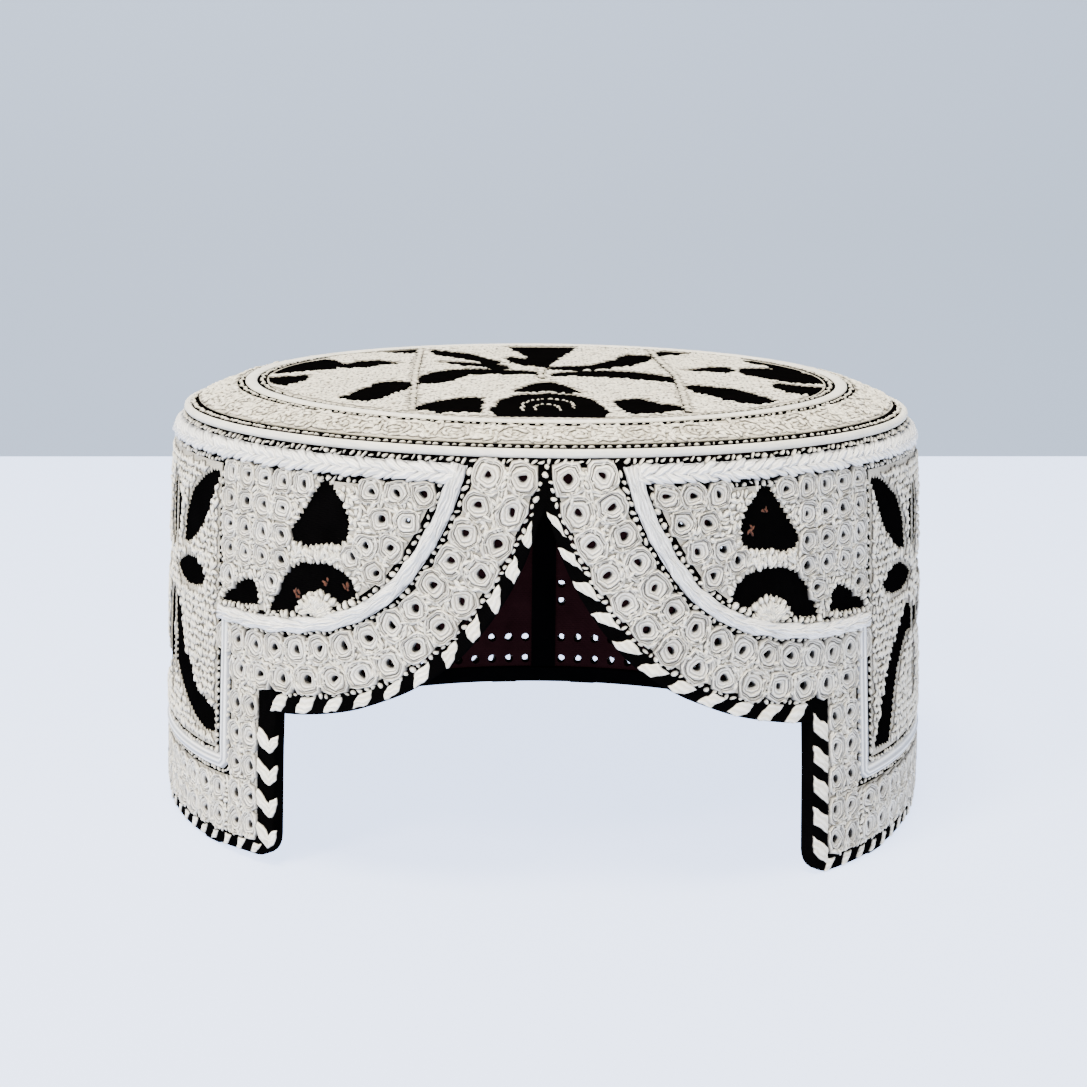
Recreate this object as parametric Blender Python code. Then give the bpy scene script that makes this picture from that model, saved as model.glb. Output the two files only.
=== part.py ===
"""Embroidered cap with an arched front, built as the separate pieces it is sewn from.

The wall is drafted flat, as a tailor would cut it: s runs round the cap from the middle of the
front, z runs up from the lower edge. A flat sheet is cut, pierced, thickened and then bent round
the head. The crown, the shoulder and the cords are turned about the cap's own axis.

Frame: the origin is on the floor under the middle of the cap's box, +Z up, the arch faces -Y.
Drafting is in millimetres. The meshes are in metres.
"""

import math

import bmesh
import bpy
from mathutils import Vector
from mathutils.geometry import delaunay_2d_cdt

MM = 0.001

# Head size: radius of the draft circle at the lower edge, and half the way round it.
HEAD_RADIUS = 93.0
HALF_GIRTH = math.pi * HEAD_RADIUS

# The arch takes a little off the front, so the turned axis stands this far from the box's middle.
AXIS_Y = -1.5

# Cloth thicknesses and the air left between neighbouring pieces.
WALL_THICK = 1.4
LINING_THICK = 1.0
GAP = 0.35
TRIM_THICK = 1.1

# Outer face of the wall cloth: height above the floor and radius there.
WALL_PROFILE = (
    # height, radius
    (0.0, 92.2),
    (25.0, 91.9),
    (42.0, 91.3),
    (60.0, 90.7),
    (79.0, 89.8),
    (88.3, 88.9),
    (91.0, 88.2),
    (93.8, 86.7),
)

# How the soft cap stands: the right flap leans out, the left one is a little lifted and pushed
# round, the rim is lower at the back and the crown is higher there.
FLAP_FREE = 60.0
RIGHT_FLARE = 1.8
RIGHT_FLARE_AT = (75.0, 26.0)
LEFT_LIFT = 1.6
LEFT_PUSH = 1.3
LEFT_LIFT_AT = (-66.0, 18.0)
RIM_DROP = 1.3
CROWN_RISE = 1.4

# The arch, on the right of the middle: the line where the binding meets the cloth, how wide the
# binding is below it, how deep the eyelet border is above it, and how wide the band is above that.
ARCH_ROWS = (
    # s, z, binding, border, band
    (0.9, 90.5, 1.9, 15.2, 5.6),
    (2.5, 85.0, 2.3, 15.0, 5.4),
    (5.4, 78.0, 3.0, 14.6, 5.0),
    (8.4, 72.2, 3.6, 14.3, 4.9),
    (12.0, 66.3, 3.9, 14.1, 4.9),
    (16.6, 60.0, 4.0, 14.0, 4.8),
    (21.9, 54.3, 4.0, 13.8, 4.6),
    (30.0, 48.4, 3.7, 13.7, 4.4),
    (37.0, 45.0, 3.6, 13.7, 4.1),
    (44.0, 42.5, 3.8, 13.8, 3.9),
    (52.0, 40.9, 4.3, 13.7, 3.8),
    (60.0, 39.9, 4.8, 13.6, 3.7),
    (68.4, 39.4, 4.9, 13.4, 3.5),
)
ARCH_TOP = 83.6

# The flaps beside the arch and the border along the lower edge.
FLAP_EDGE = 63.4
FLAP_BORDER = 11.0
CORNER_RADIUS = 5.5
HEM_BINDING = 4.4
HEM_START = FLAP_EDGE + CORNER_RADIUS + 3.0
BINDING_PROUD = 0.3
HEM_BORDER = 12.8
CORD_WIDTH = 3.7
BEAD_ROOM = 0.7

# Eyelets: those of the border lie in two rows, those of the front panels in rows of their own.
EYELET_RADIUS = 1.15
EYELET_SIDES = 6
LINING_EYELET_SIDES = 4
BORDER_ROWS = (
    # share of the border's depth, pitch along the row, distance to the first, how many
    (0.25, 7.2, 1.2, 14),
    (0.74, 6.5, 2.6, 15),
)
FLAP_ROWS = (34.8, 27.8, 20.8, 13.6, 7.0)
FLAP_COLUMNS = (72.0, 77.4)
PANEL_ROWS = (
    # height, first s beside the band, eyelets there, eyelets beside the flap's cord
    (86.4, 26.4, 3, 5),
    (80.6, 29.9, 2, 4),
    (74.8, 33.6, 2, 4),
)
PANEL_PITCH = 6.1
PANEL_LAST = 80.8

# Rim, shoulder and crown: radii and heights of the turned pieces.
TURN_STEPS = 48
RIM_BRAID_LOW = 89.3
RIM_BRAID_HIGH = 92.9
RIM_BRAID_START = 23.5
RIM_CORD_RADIUS = 1.1
RIM_CORD_RING = 86.3
RIM_CORD_HEIGHT = 95.3
SHOULDER_THICK = 1.6
SHOULDER_OUT = (84.9, 96.4)
SHOULDER_IN = (72.3, 99.7)
RING_INNER = 69.6
RING_OUTER = 73.8
RING_LOW = 100.05
RING_HIGH = 101.1
CROWN_RADIUS = 71.9
CROWN_TOP = 99.7
CROWN_THICK = 1.6

# How closely the flat draft is divided before it is bent.
DRAFT_STEP = 2.0 * HALF_GIRTH / TURN_STEPS
CURVE_STEP = 4.5


def clear_scene():
    for item in list(bpy.data.objects):
        bpy.data.objects.remove(item, do_unlink=True)


def fabric(name, colour, roughness):
    """A plain fabric material: its colour and how dull it is."""
    material = bpy.data.materials.new(name)
    material.use_nodes = True
    shader = material.node_tree.nodes["Principled BSDF"]
    shader.inputs["Base Color"].default_value = (*colour, 1.0)
    shader.inputs["Roughness"].default_value = roughness
    shader.inputs["Metallic"].default_value = 0.0
    return material


def read_table(table, at):
    """Straight-line reading of a two-column table."""
    for (low, value_low), (high, value_high) in zip(table, table[1:]):
        if at <= high:
            share = max(0.0, (at - low) / (high - low))
            return value_low + share * (value_high - value_low)
    return table[-1][1]


def near(s, place):
    """1 at a place round the cap, falling to nothing over its spread."""
    middle, spread = place
    return math.exp(-(((s - middle) / spread) ** 2))


def bend(s, z, out):
    """A point of the flat draft, out millimetres off the wall's face, as a place on the cap."""
    free = max(0.0, 1.0 - z / FLAP_FREE)
    radius = read_table(WALL_PROFILE, z) + out + RIGHT_FLARE * free * near(s, RIGHT_FLARE_AT)
    lift = free * near(s, LEFT_LIFT_AT)
    angle = (s - LEFT_PUSH * lift) / HEAD_RADIUS
    drop = RIM_DROP * z / RIM_CORD_HEIGHT * 0.5 * (1.0 - math.cos(angle))
    height = z + LEFT_LIFT * lift - drop
    return Vector((radius * math.sin(angle), -radius * math.cos(angle), height)) * MM


def settle(solid):
    """Let a turned piece stand like the soft cap: rim lower at the back, crown higher there."""
    rim, crown = SHOULDER_OUT[0], RING_OUTER
    for v in solid.verts:
        radius = math.hypot(v.co.x, v.co.y) / MM
        share = min(1.0, max(0.0, (rim - radius) / (rim - crown)))
        back = 0.5 * (1.0 + v.co.y / MM / max(radius, crown))
        v.co.z += (share * CROWN_RISE - (1.0 - share) * RIM_DROP) * back * MM


def smooth_rows(rows, step):
    """The rows of a table read along a smooth curve through all of them (Catmull-Rom)."""
    ends = [rows[0]] + list(rows) + [rows[-1]]
    out = []
    for a, b, c, d in zip(ends, ends[1:], ends[2:], ends[3:]):
        parts = max(1, round(math.dist(b[:2], c[:2]) / step))
        for k in range(parts):
            t = k / parts
            out.append(tuple(
                0.5 * (2 * q + (r - p) * t + (2 * p - 5 * q + 4 * r - u) * t * t
                       + (3 * q - 3 * r + u - p) * t ** 3)
                for p, q, r, u in zip(a, b, c, d)))
    out.append(tuple(rows[-1]))
    return out


def sideways(points):
    """Unit directions into the cloth, square to a line of (s, z) points that runs off the apex."""
    turned = []
    for k in range(len(points)):
        before = points[max(0, k - 1)]
        after = points[min(len(points) - 1, k + 1)]
        run = Vector((after[0] - before[0], after[1] - before[1])).normalized()
        turned.append(Vector((-run.y, run.x)))
    return turned


def arch_lines():
    """Four lines along the arch, apex to corner: outer edge, binding line, band foot, band top."""
    rows = smooth_rows(ARCH_ROWS, CURVE_STEP)
    lines = {"edge": [], "bead": [], "foot": [], "top": []}
    for row, into in zip(rows, sideways(rows)):
        s, z, binding, border, band = row
        here = Vector((s, z))
        lines["edge"].append(here - into * binding)
        lines["bead"].append(here)
        lines["foot"].append(here + into * border)
        lines["top"].append(here + into * (border + band))
    return lines


def along(start, end, step):
    """Points from start up to, and without, end."""
    parts = max(1, round(math.dist(start, end) / step))
    return [Vector(start).lerp(Vector(end), k / parts) for k in range(parts)]


def arc(centre, radius, first, last, parts):
    """Points of an arc between two angles in degrees, both ends included."""
    turns = [math.radians(first + (last - first) * k / parts) for k in range(parts + 1)]
    return [Vector((centre[0] + radius * math.cos(t), centre[1] + radius * math.sin(t))) for t in turns]


def edge_line():
    """The cap's free edge on the right, from the top of the arch to the middle of the back."""
    arch = [p for p in arch_lines()["edge"] if p.x > 0.8 and p.x < FLAP_EDGE - 1.0]
    corner = Vector((FLAP_EDGE, arch[-1].y))
    turn = (FLAP_EDGE + CORNER_RADIUS, CORNER_RADIUS)
    hem = (FLAP_EDGE + CORNER_RADIUS, 0.0)
    down = along(corner, (FLAP_EDGE, CORNER_RADIUS), DRAFT_STEP)
    return [Vector((0.0, ARCH_TOP))] + arch + down + arc(turn, CORNER_RADIUS, 180, 270, 4)[:-1] \
        + along(hem, (HALF_GIRTH, 0.0), DRAFT_STEP) + [Vector((HALF_GIRTH, 0.0))]


def binding_line(clearance):
    """Where the binding meets the cloth, moved a clearance into the cloth (or back, if negative)."""
    bead = arch_lines()["bead"]
    moved = [p + n * clearance for p, n in zip(bead, sideways(bead))]
    flap = ARCH_ROWS[-1][0] + clearance
    hem = HEM_BINDING + clearance
    arch = [p for p in moved if p.x > 0.2 and p.x < flap - 1.0]
    corner = Vector((flap, moved[-1].y))
    apex = Vector((0.0, arch[0].y + 1.0))
    return [apex] + arch + along(corner, (flap, hem), DRAFT_STEP) \
        + along((flap, hem), (HALF_GIRTH, hem), DRAFT_STEP) + [Vector((HALF_GIRTH, hem))]


def mirrored(line):
    """The same line on the left, run the other way."""
    return [Vector((-p[0], p[1])) for p in reversed(line)]


def both_sides(line):
    """A line on the right joined, across the middle of the front, to its mirror on the left."""
    return mirrored(line)[:-1] + list(line)


def row_points(line, pitch, first, count):
    """Places at an even pitch along a line, the first a given distance from its start."""
    places = []
    travelled = 0.0
    wanted = first
    for a, b in zip(line, line[1:]):
        length = (b - a).length
        while len(places) < count and wanted <= travelled + length:
            places.append(a.lerp(b, (wanted - travelled) / length))
            wanted += pitch
        travelled += length
    return places


def eyelet_places():
    """Every pierced eyelet: the arch's two rows, the flaps and the panels beside them."""
    bead = arch_lines()["bead"]
    foot = arch_lines()["foot"]
    right = []
    for share, pitch, first, count in BORDER_ROWS:
        row = [a.lerp(b, share) for a, b in zip(bead, foot)]
        row.append(row[-1] + Vector((2.0 * pitch, 0.0)))
        right += row_points(row, pitch, first, count)
    right += [Vector((s, z)) for z in FLAP_ROWS for s in FLAP_COLUMNS]
    for height, start, beside_band, beside_cord in PANEL_ROWS:
        right += [Vector((start + k * PANEL_PITCH, height)) for k in range(beside_band)]
        right += [Vector((PANEL_LAST - k * PANEL_PITCH, height)) for k in range(beside_cord)]
    return right + [Vector((-p.x, p.y)) for p in right]


def inside(point, loop):
    """Whether a point lies inside a closed loop (even-odd rule)."""
    found = False
    for a, b in zip(loop, loop[1:] + loop[:1]):
        if (a[1] > point[1]) != (b[1] > point[1]):
            cross = a[0] + (point[1] - a[1]) / (b[1] - a[1]) * (b[0] - a[0])
            found = found != (point[0] < cross)
    return found


def draft_points(outline, holes):
    """Extra points that let a flat sheet bend: a grid, clear of its edges and its holes."""
    grid = []
    for i in range(1, TURN_STEPS):
        for height, _ in WALL_PROFILE:
            point = Vector((-HALF_GIRTH + i * DRAFT_STEP, height))
            clear = all((point - Vector(p)).length > 1.5 for p in outline)
            clear = clear and all((point - centre).length > 2.0 * radius for centre, radius in holes)
            if clear and inside(point, outline):
                grid.append(point)
    return grid


def hole_loop(centre, radius, sides):
    return arc(centre, radius, 0.0, 360.0 * (sides - 1) / sides, sides - 1)


def cut_sheet(outline, holes=(), sides=EYELET_SIDES):
    """A flat bmesh sheet inside an outline, without its round holes. x is s and y is z."""
    loops = [list(outline)] + [hole_loop(centre, radius, sides) for centre, radius in holes]
    points = [Vector(p) for loop in loops for p in loop]
    edges = []
    start = 0
    for loop in loops:
        edges += [(start + k, start + (k + 1) % len(loop)) for k in range(len(loop))]
        start += len(loop)
    points += draft_points(outline, holes)
    corners, _, faces = delaunay_2d_cdt(points, edges, [], 0, 1e-5)[:3]
    sheet = bmesh.new()
    verts = [sheet.verts.new((p.x, p.y, 0.0)) for p in corners]
    for face in faces:
        middle = sum((corners[k] for k in face), Vector((0.0, 0.0))) / len(face)
        pierced = any((middle - centre).length < 0.7 * radius for centre, radius in holes)
        if inside(middle, outline) and not pierced:
            sheet.faces.new([verts[k] for k in face])
    loose = [v for v in sheet.verts if not v.link_faces]
    bmesh.ops.delete(sheet, geom=loose, context="VERTS")
    return sheet


def thicken_and_bend(sheet, low, high):
    """Give a flat sheet its thickness, off the wall's face from low to high, and bend it."""
    for v in sheet.verts:
        v.co.z = low
    raised = bmesh.ops.extrude_face_region(sheet, geom=sheet.faces[:])["geom"]
    for v in (g for g in raised if isinstance(g, bmesh.types.BMVert)):
        v.co.z = high
    back = HALF_GIRTH - 0.001
    ends = [f for f in sheet.faces if all(abs(v.co.x) > back for v in f.verts)]
    bmesh.ops.delete(sheet, geom=ends, context="FACES_ONLY")
    for v in sheet.verts:
        v.co = bend(v.co.x, v.co.y, v.co.z)
    bmesh.ops.remove_doubles(sheet, verts=sheet.verts[:], dist=1e-6)
    bmesh.ops.recalc_face_normals(sheet, faces=sheet.faces[:])
    return sheet


def turned(profile):
    """A closed profile of (radius, height) points turned all the way round the cap's axis."""
    solid = bmesh.new()
    verts = [solid.verts.new((r * MM, 0.0, z * MM)) for r, z in profile]
    edges = [solid.edges.new(pair) for pair in zip(verts, verts[1:] + verts[:1])]
    bmesh.ops.spin(solid, geom=verts + edges, cent=(0.0, 0.0, 0.0), axis=(0.0, 0.0, 1.0),
                   angle=2.0 * math.pi, steps=TURN_STEPS, use_merge=True)
    settle(solid)
    return solid


def turned_disc(profile):
    """An open profile that starts and ends on the axis, turned into a closed disc."""
    solid = bmesh.new()
    verts = [solid.verts.new((r * MM, 0.0, z * MM)) for r, z in profile]
    edges = [solid.edges.new(pair) for pair in zip(verts, verts[1:])]
    bmesh.ops.spin(solid, geom=verts + edges, cent=(0.0, 0.0, 0.0), axis=(0.0, 0.0, 1.0),
                   angle=2.0 * math.pi, steps=TURN_STEPS, use_merge=True)
    bmesh.ops.remove_doubles(solid, verts=solid.verts[:], dist=1e-6)
    settle(solid)
    return solid


def add_piece(name, solid, material):
    bmesh.ops.recalc_face_normals(solid, faces=solid.faces[:])
    bmesh.ops.translate(solid, verts=solid.verts[:], vec=(0.0, AXIS_Y * MM, 0.0))
    mesh = bpy.data.meshes.new(name)
    solid.to_mesh(mesh)
    solid.free()
    mesh.materials.append(material)
    mesh.shade_smooth()
    mesh.set_sharp_from_angle(angle=math.radians(35.0))
    piece = bpy.data.objects.new(name, mesh)
    bpy.context.scene.collection.objects.link(piece)
    return piece


def wall_outline(top):
    """The cloth of the wall, inside the binding, up to a height, with its seam at the back."""
    lower = both_sides(binding_line(GAP))
    seam = [Vector((HALF_GIRTH, height)) for height, _ in WALL_PROFILE[1:] if height < top]
    upper = along((HALF_GIRTH, top), (-HALF_GIRTH, top), DRAFT_STEP) + [Vector((-HALF_GIRTH, top))]
    return lower + seam + upper + mirrored(seam)


def build_side_wall(white):
    holes = [(place, EYELET_RADIUS) for place in eyelet_places()]
    sheet = cut_sheet(wall_outline(WALL_PROFILE[-1][0]), holes)
    return add_piece("side_wall", thicken_and_bend(sheet, -WALL_THICK, 0.0), white)


def build_wall_lining(maroon):
    holes = [(place, EYELET_RADIUS) for place in eyelet_places()]
    sheet = cut_sheet(wall_outline(WALL_PROFILE[-1][0] - 0.8), holes, LINING_EYELET_SIDES)
    face = -WALL_THICK - GAP
    return add_piece("wall_lining", thicken_and_bend(sheet, face - LINING_THICK, face), maroon)


def two_halves(outline):
    """One flat sheet of an outline on the right and its mirror on the left, to be joined by bending."""
    sheet = bmesh.new()
    for side in (-1.0, 1.0):
        half = cut_sheet([Vector((side * p[0], p[1])) for p in outline])
        mesh = bpy.data.meshes.new("half")
        half.to_mesh(mesh)
        half.free()
        sheet.from_mesh(mesh)
        bpy.data.meshes.remove(mesh)
    return sheet


def build_bindings(black):
    """The tape in two lengths: round the arch and both flaps, and along the lower edge behind them."""
    lines = (binding_line(0.0), edge_line())
    inner, outer = ([p for p in line if p.x < HEM_START] + [Vector((HEM_START, line[-1].y))]
                    for line in lines)
    front = cut_sheet(both_sides(inner) + list(reversed(both_sides(outer))))
    start = HEM_START + GAP
    inner, outer = ([Vector((start, line[-1].y))] + [p for p in line if p.x > start] for line in lines)
    hem = two_halves(inner + list(reversed(outer)))
    depth = WALL_THICK + GAP + LINING_THICK
    add_piece("edge_binding", thicken_and_bend(front, -depth, BINDING_PROUD), black)
    add_piece("hem_binding", thicken_and_bend(hem, -depth, BINDING_PROUD), black)


def arch_band_outline():
    """One arch band, from under the rim braid to the corner above the flap's cord."""
    lines = arch_lines()
    high = RIM_BRAID_HIGH
    foot = [p for p in lines["foot"] if p.y < high]
    top = [p for p in lines["top"] if p.y < high]
    corner = ARCH_ROWS[-1][0] + FLAP_BORDER + BEAD_ROOM
    foot_turn = Vector((corner, foot[-1].y))
    top_turn = Vector((corner + CORD_WIDTH, top[-1].y))
    foot_start = Vector((foot[0].x - 0.6, high))
    top_start = Vector((top[0].x - 0.8, high))
    return [foot_start] + foot + [foot_turn, top_turn] + list(reversed(top)) + [top_start]


def shrunk(outline, by):
    """An outline drawn in on every side, to leave room for the beads along it."""
    moved = []
    for k, here in enumerate(outline):
        before = (here - outline[k - 1]).normalized()
        after = (outline[(k + 1) % len(outline)] - here).normalized()
        into = Vector((-before.y - after.y, before.x + after.x)).normalized()
        squeeze = max(0.5, Vector((-before.y, before.x)).dot(into))
        moved.append(here + into * (by / squeeze))
    return moved


def build_arch_bands(floss):
    for side, name in ((-1.0, "arch_band_left"), (1.0, "arch_band_right")):
        outline = [Vector((side * p.x, p.y)) for p in shrunk(arch_band_outline(), BEAD_ROOM)]
        add_piece(name, thicken_and_bend(cut_sheet(outline), GAP, GAP + TRIM_THICK), floss)


def panel_cord_line(inset):
    """The flat cord's centre line moved sideways: corner, down the flap, round to the back."""
    lines = arch_lines()
    start = lines["foot"][-1].y
    s = ARCH_ROWS[-1][0] + FLAP_BORDER + BEAD_ROOM + inset
    z = HEM_BINDING + HEM_BORDER + BEAD_ROOM + inset
    return along((s, start + 0.2), (s, z), DRAFT_STEP) + along((s, z), (HALF_GIRTH, z), DRAFT_STEP) \
        + [Vector((HALF_GIRTH, z))]


def build_panel_cord(floss):
    """One cord all round: both flaps and the back, joined at the back like the wall."""
    cord = two_halves(panel_cord_line(0.0) + list(reversed(panel_cord_line(CORD_WIDTH))))
    return add_piece("panel_cord", thicken_and_bend(cord, GAP, GAP + TRIM_THICK), floss)


def build_rim_braid(floss):
    """The plaited band under the rim, open between the two arch bands."""
    lengths = along((RIM_BRAID_START, 0.0), (HALF_GIRTH, 0.0), DRAFT_STEP) + [Vector((HALF_GIRTH, 0.0))]
    middle = 0.5 * (RIM_BRAID_LOW + RIM_BRAID_HIGH)
    braid = bmesh.new()
    for side in (-1.0, 1.0):
        rows = [[braid.verts.new((side * p.x, z, 0.0)) for p in lengths]
                for z in (RIM_BRAID_LOW, middle, RIM_BRAID_HIGH)]
        for low, high in zip(rows, rows[1:]):
            for k in range(len(lengths) - 1):
                corners = (low[k], low[k + 1], high[k + 1], high[k])
                braid.faces.new(corners if side > 0 else corners[::-1])
    return add_piece("rim_braid", thicken_and_bend(braid, GAP, GAP + TRIM_THICK), floss)


def build_rim_cord(floss):
    ring = [(RIM_CORD_RING + RIM_CORD_RADIUS * math.cos(math.tau * k / 6),
             RIM_CORD_HEIGHT + RIM_CORD_RADIUS * math.sin(math.tau * k / 6)) for k in range(6)]
    return add_piece("rim_cord", turned(ring), floss)


def build_shoulder_band(white):
    (r_out, z_out), (r_in, z_in) = SHOULDER_OUT, SHOULDER_IN
    profile = [(r_out, z_out), (r_in, z_in), (r_in, z_in - SHOULDER_THICK), (r_out, z_out - SHOULDER_THICK)]
    return add_piece("shoulder_band", turned(profile), white)


def build_crown_ring(floss):
    middle = 0.5 * (RING_INNER + RING_OUTER)
    profile = [(RING_OUTER, RING_LOW), (RING_OUTER - 0.3, RING_HIGH - 0.4), (middle, RING_HIGH),
               (RING_INNER + 0.3, RING_HIGH - 0.4), (RING_INNER, RING_LOW)]
    return add_piece("crown_ring", turned(profile), floss)


def build_crown_panel(white):
    profile = [(0.0, CROWN_TOP), (CROWN_RADIUS, CROWN_TOP),
               (CROWN_RADIUS, CROWN_TOP - CROWN_THICK), (0.0, CROWN_TOP - CROWN_THICK)]
    return add_piece("crown_panel", turned_disc(profile), white)


def build_crown_lining(maroon):
    """The lining under crown and shoulder, a clearance below both."""
    high = CROWN_TOP - CROWN_THICK - GAP
    low = SHOULDER_OUT[1] - SHOULDER_THICK - GAP
    rim = SHOULDER_OUT[0] - 0.3
    profile = [(0.0, high), (CROWN_RADIUS, high), (rim, low),
               (rim - 0.3, low - LINING_THICK), (CROWN_RADIUS - 0.2, high - LINING_THICK),
               (0.0, high - LINING_THICK)]
    return add_piece("crown_lining", turned_disc(profile), maroon)


def build_cap():
    clear_scene()
    white = fabric("embroidered_cloth", (0.76, 0.74, 0.68), 0.85)
    floss = fabric("white_floss", (0.84, 0.84, 0.84), 0.6)
    black = fabric("black_tape", (0.012, 0.011, 0.012), 0.8)
    maroon = fabric("maroon_lining", (0.035, 0.012, 0.018), 0.9)
    build_side_wall(white)
    build_wall_lining(maroon)
    build_bindings(black)
    build_arch_bands(floss)
    build_panel_cord(floss)
    build_rim_braid(floss)
    build_rim_cord(floss)
    build_shoulder_band(white)
    build_crown_ring(floss)
    build_crown_panel(white)
    build_crown_lining(maroon)
    for piece in bpy.context.scene.objects:
        piece.data.calc_loop_triangles()
        print(piece.name, len(piece.data.loop_triangles), "triangles")
    print(sum(len(p.data.loop_triangles) for p in bpy.context.scene.objects), "triangles in all")


build_cap()
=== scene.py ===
# %% [markdown]
# An embroidered cap with an arched front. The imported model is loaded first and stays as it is. Every
# piece below is drafted flat in millimetres, as a tailor would draft it, and then bent onto the cap:
# s runs round the cap from the middle of the front, z runs up from the lower edge, out is off the cloth.
# Working flat keeps the numbers readable, because a stitch is then equally long wherever it lies.

# %% Load the frame
import math

import bmesh
import bpy
import numpy as np
from mathutils import Euler, Matrix, Vector
from mathutils.geometry import delaunay_2d_cdt


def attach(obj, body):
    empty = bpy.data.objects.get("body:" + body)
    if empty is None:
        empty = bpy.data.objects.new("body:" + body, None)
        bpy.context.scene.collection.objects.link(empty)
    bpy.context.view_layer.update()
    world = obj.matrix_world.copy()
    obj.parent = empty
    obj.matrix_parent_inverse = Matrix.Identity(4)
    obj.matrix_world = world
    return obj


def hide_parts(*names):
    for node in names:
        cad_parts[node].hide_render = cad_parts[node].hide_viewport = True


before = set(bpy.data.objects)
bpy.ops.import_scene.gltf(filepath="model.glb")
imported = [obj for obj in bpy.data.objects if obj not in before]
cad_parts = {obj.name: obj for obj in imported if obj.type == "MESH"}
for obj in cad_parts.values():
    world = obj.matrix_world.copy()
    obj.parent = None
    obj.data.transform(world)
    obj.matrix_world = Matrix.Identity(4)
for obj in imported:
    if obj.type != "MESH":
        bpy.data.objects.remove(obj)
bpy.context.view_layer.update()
MM = 0.001
chance = np.random.default_rng(11)
print("nodes:", ", ".join(sorted(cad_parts)))

# %% [markdown]
# The draft sizes are those of the part's source, so that each thread lies where its solid does. The
# wall leans in a little towards the rim, the right flap leans out, and the left one is slightly lifted.

# %% Draft sizes
HEAD_RADIUS = 93.0
HALF_GIRTH = math.pi * HEAD_RADIUS
AXIS_Y = -1.5
WALL_THICK = 1.4
LINING_THICK = 1.0
GAP = 0.35
WALL_PROFILE = (
    # height, radius
    (0.0, 92.2), (25.0, 91.9), (42.0, 91.3), (60.0, 90.7), (79.0, 89.8), (88.3, 88.9), (91.0, 88.2),
    (93.8, 86.7),
)
FLAP_FREE = 60.0
RIGHT_FLARE = 1.8
RIGHT_FLARE_AT = (75.0, 26.0)
LEFT_LIFT = 1.6
LEFT_PUSH = 1.3
LEFT_LIFT_AT = (-66.0, 18.0)
RIM_DROP = 1.3
CROWN_RISE = 1.4
RIM_CORD_HEIGHT = 95.3
SHOULDER_OUT = (84.9, 96.4)
SHOULDER_IN = (72.3, 99.7)
RING_OUTER = 73.8
CROWN_TOP = 99.7


def near(s, place):
    """1 at a place round the cap, falling to nothing over its spread."""
    return np.exp(-(((s - place[0]) / place[1]) ** 2))


def wall(s, z, out):
    """Bend draft points, out millimetres off the wall's face, onto the cap. Gives metres."""
    s, z, out = np.broadcast_arrays(np.asarray(s, float), z, out)
    heights, radii = zip(*WALL_PROFILE)
    free = np.maximum(0.0, 1.0 - z / FLAP_FREE)
    radius = np.interp(z, heights, radii) + out + RIGHT_FLARE * free * near(s, RIGHT_FLARE_AT)
    lift = free * near(s, LEFT_LIFT_AT)
    angle = (s - LEFT_PUSH * lift) / HEAD_RADIUS
    drop = RIM_DROP * z / RIM_CORD_HEIGHT * 0.5 * (1.0 - np.cos(angle))
    return np.stack([radius * np.sin(angle), AXIS_Y - radius * np.cos(angle),
                     z + LEFT_LIFT * lift - drop], -1) * MM


def settle(x, y, z):
    """Let turned work stand like the soft cap: rim lower at the back, crown higher. Gives metres."""
    radius = np.hypot(x, y)
    rim = SHOULDER_OUT[0]
    share = np.clip((rim - radius) / (rim - RING_OUTER), 0.0, 1.0)
    back = 0.5 * (1.0 + y / np.maximum(radius, RING_OUTER))
    z = z + (share * CROWN_RISE - (1.0 - share) * RIM_DROP) * back
    return np.stack([x, y + AXIS_Y, z], -1) * MM


def turned(angle, radius, height):
    """A point of turned work: angle from the middle of the front, to the viewer's right."""
    return settle(radius * np.sin(angle), -radius * np.cos(angle), height + 0.0 * angle)


SLOPE = math.atan2(SHOULDER_IN[1] - SHOULDER_OUT[1], SHOULDER_OUT[0] - SHOULDER_IN[0])
SHOULDER_MIDDLE = 0.5 * (SHOULDER_OUT[0] + SHOULDER_IN[0])


def slope_point(b, out):
    """Radius and height of a place on the shoulder, b up its slope from the rim."""
    return (SHOULDER_OUT[0] - b * math.cos(SLOPE) + out * math.sin(SLOPE),
            SHOULDER_OUT[1] + b * math.sin(SLOPE) + out * math.cos(SLOPE))


def shoulder(a, b, out):
    """The shoulder: a runs round at its middle radius, b up its slope."""
    return turned(a / SHOULDER_MIDDLE, *slope_point(b, out))


CROWN_BULGE = 0.7
CROWN_FIELD = 67.6


def crown(x, y, out):
    """The crown's plan, x to the right and y to the back, with the soft cloth's slight dome."""
    dome = CROWN_BULGE * np.maximum(0.0, 1.0 - (np.hypot(x, y) / CROWN_FIELD) ** 2)
    return settle(x, y, CROWN_TOP + out + dome)


print(f"the draft is {2.0 * HALF_GIRTH:.0f} mm round and {CROWN_TOP:.0f} mm high")

# %% [markdown]
# The chart of the arch has a row for each place along it: where the line of beads runs, and how wide the
# binding, the border and the white band are there. Upright and level lines mark off the wall's panels.

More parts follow.
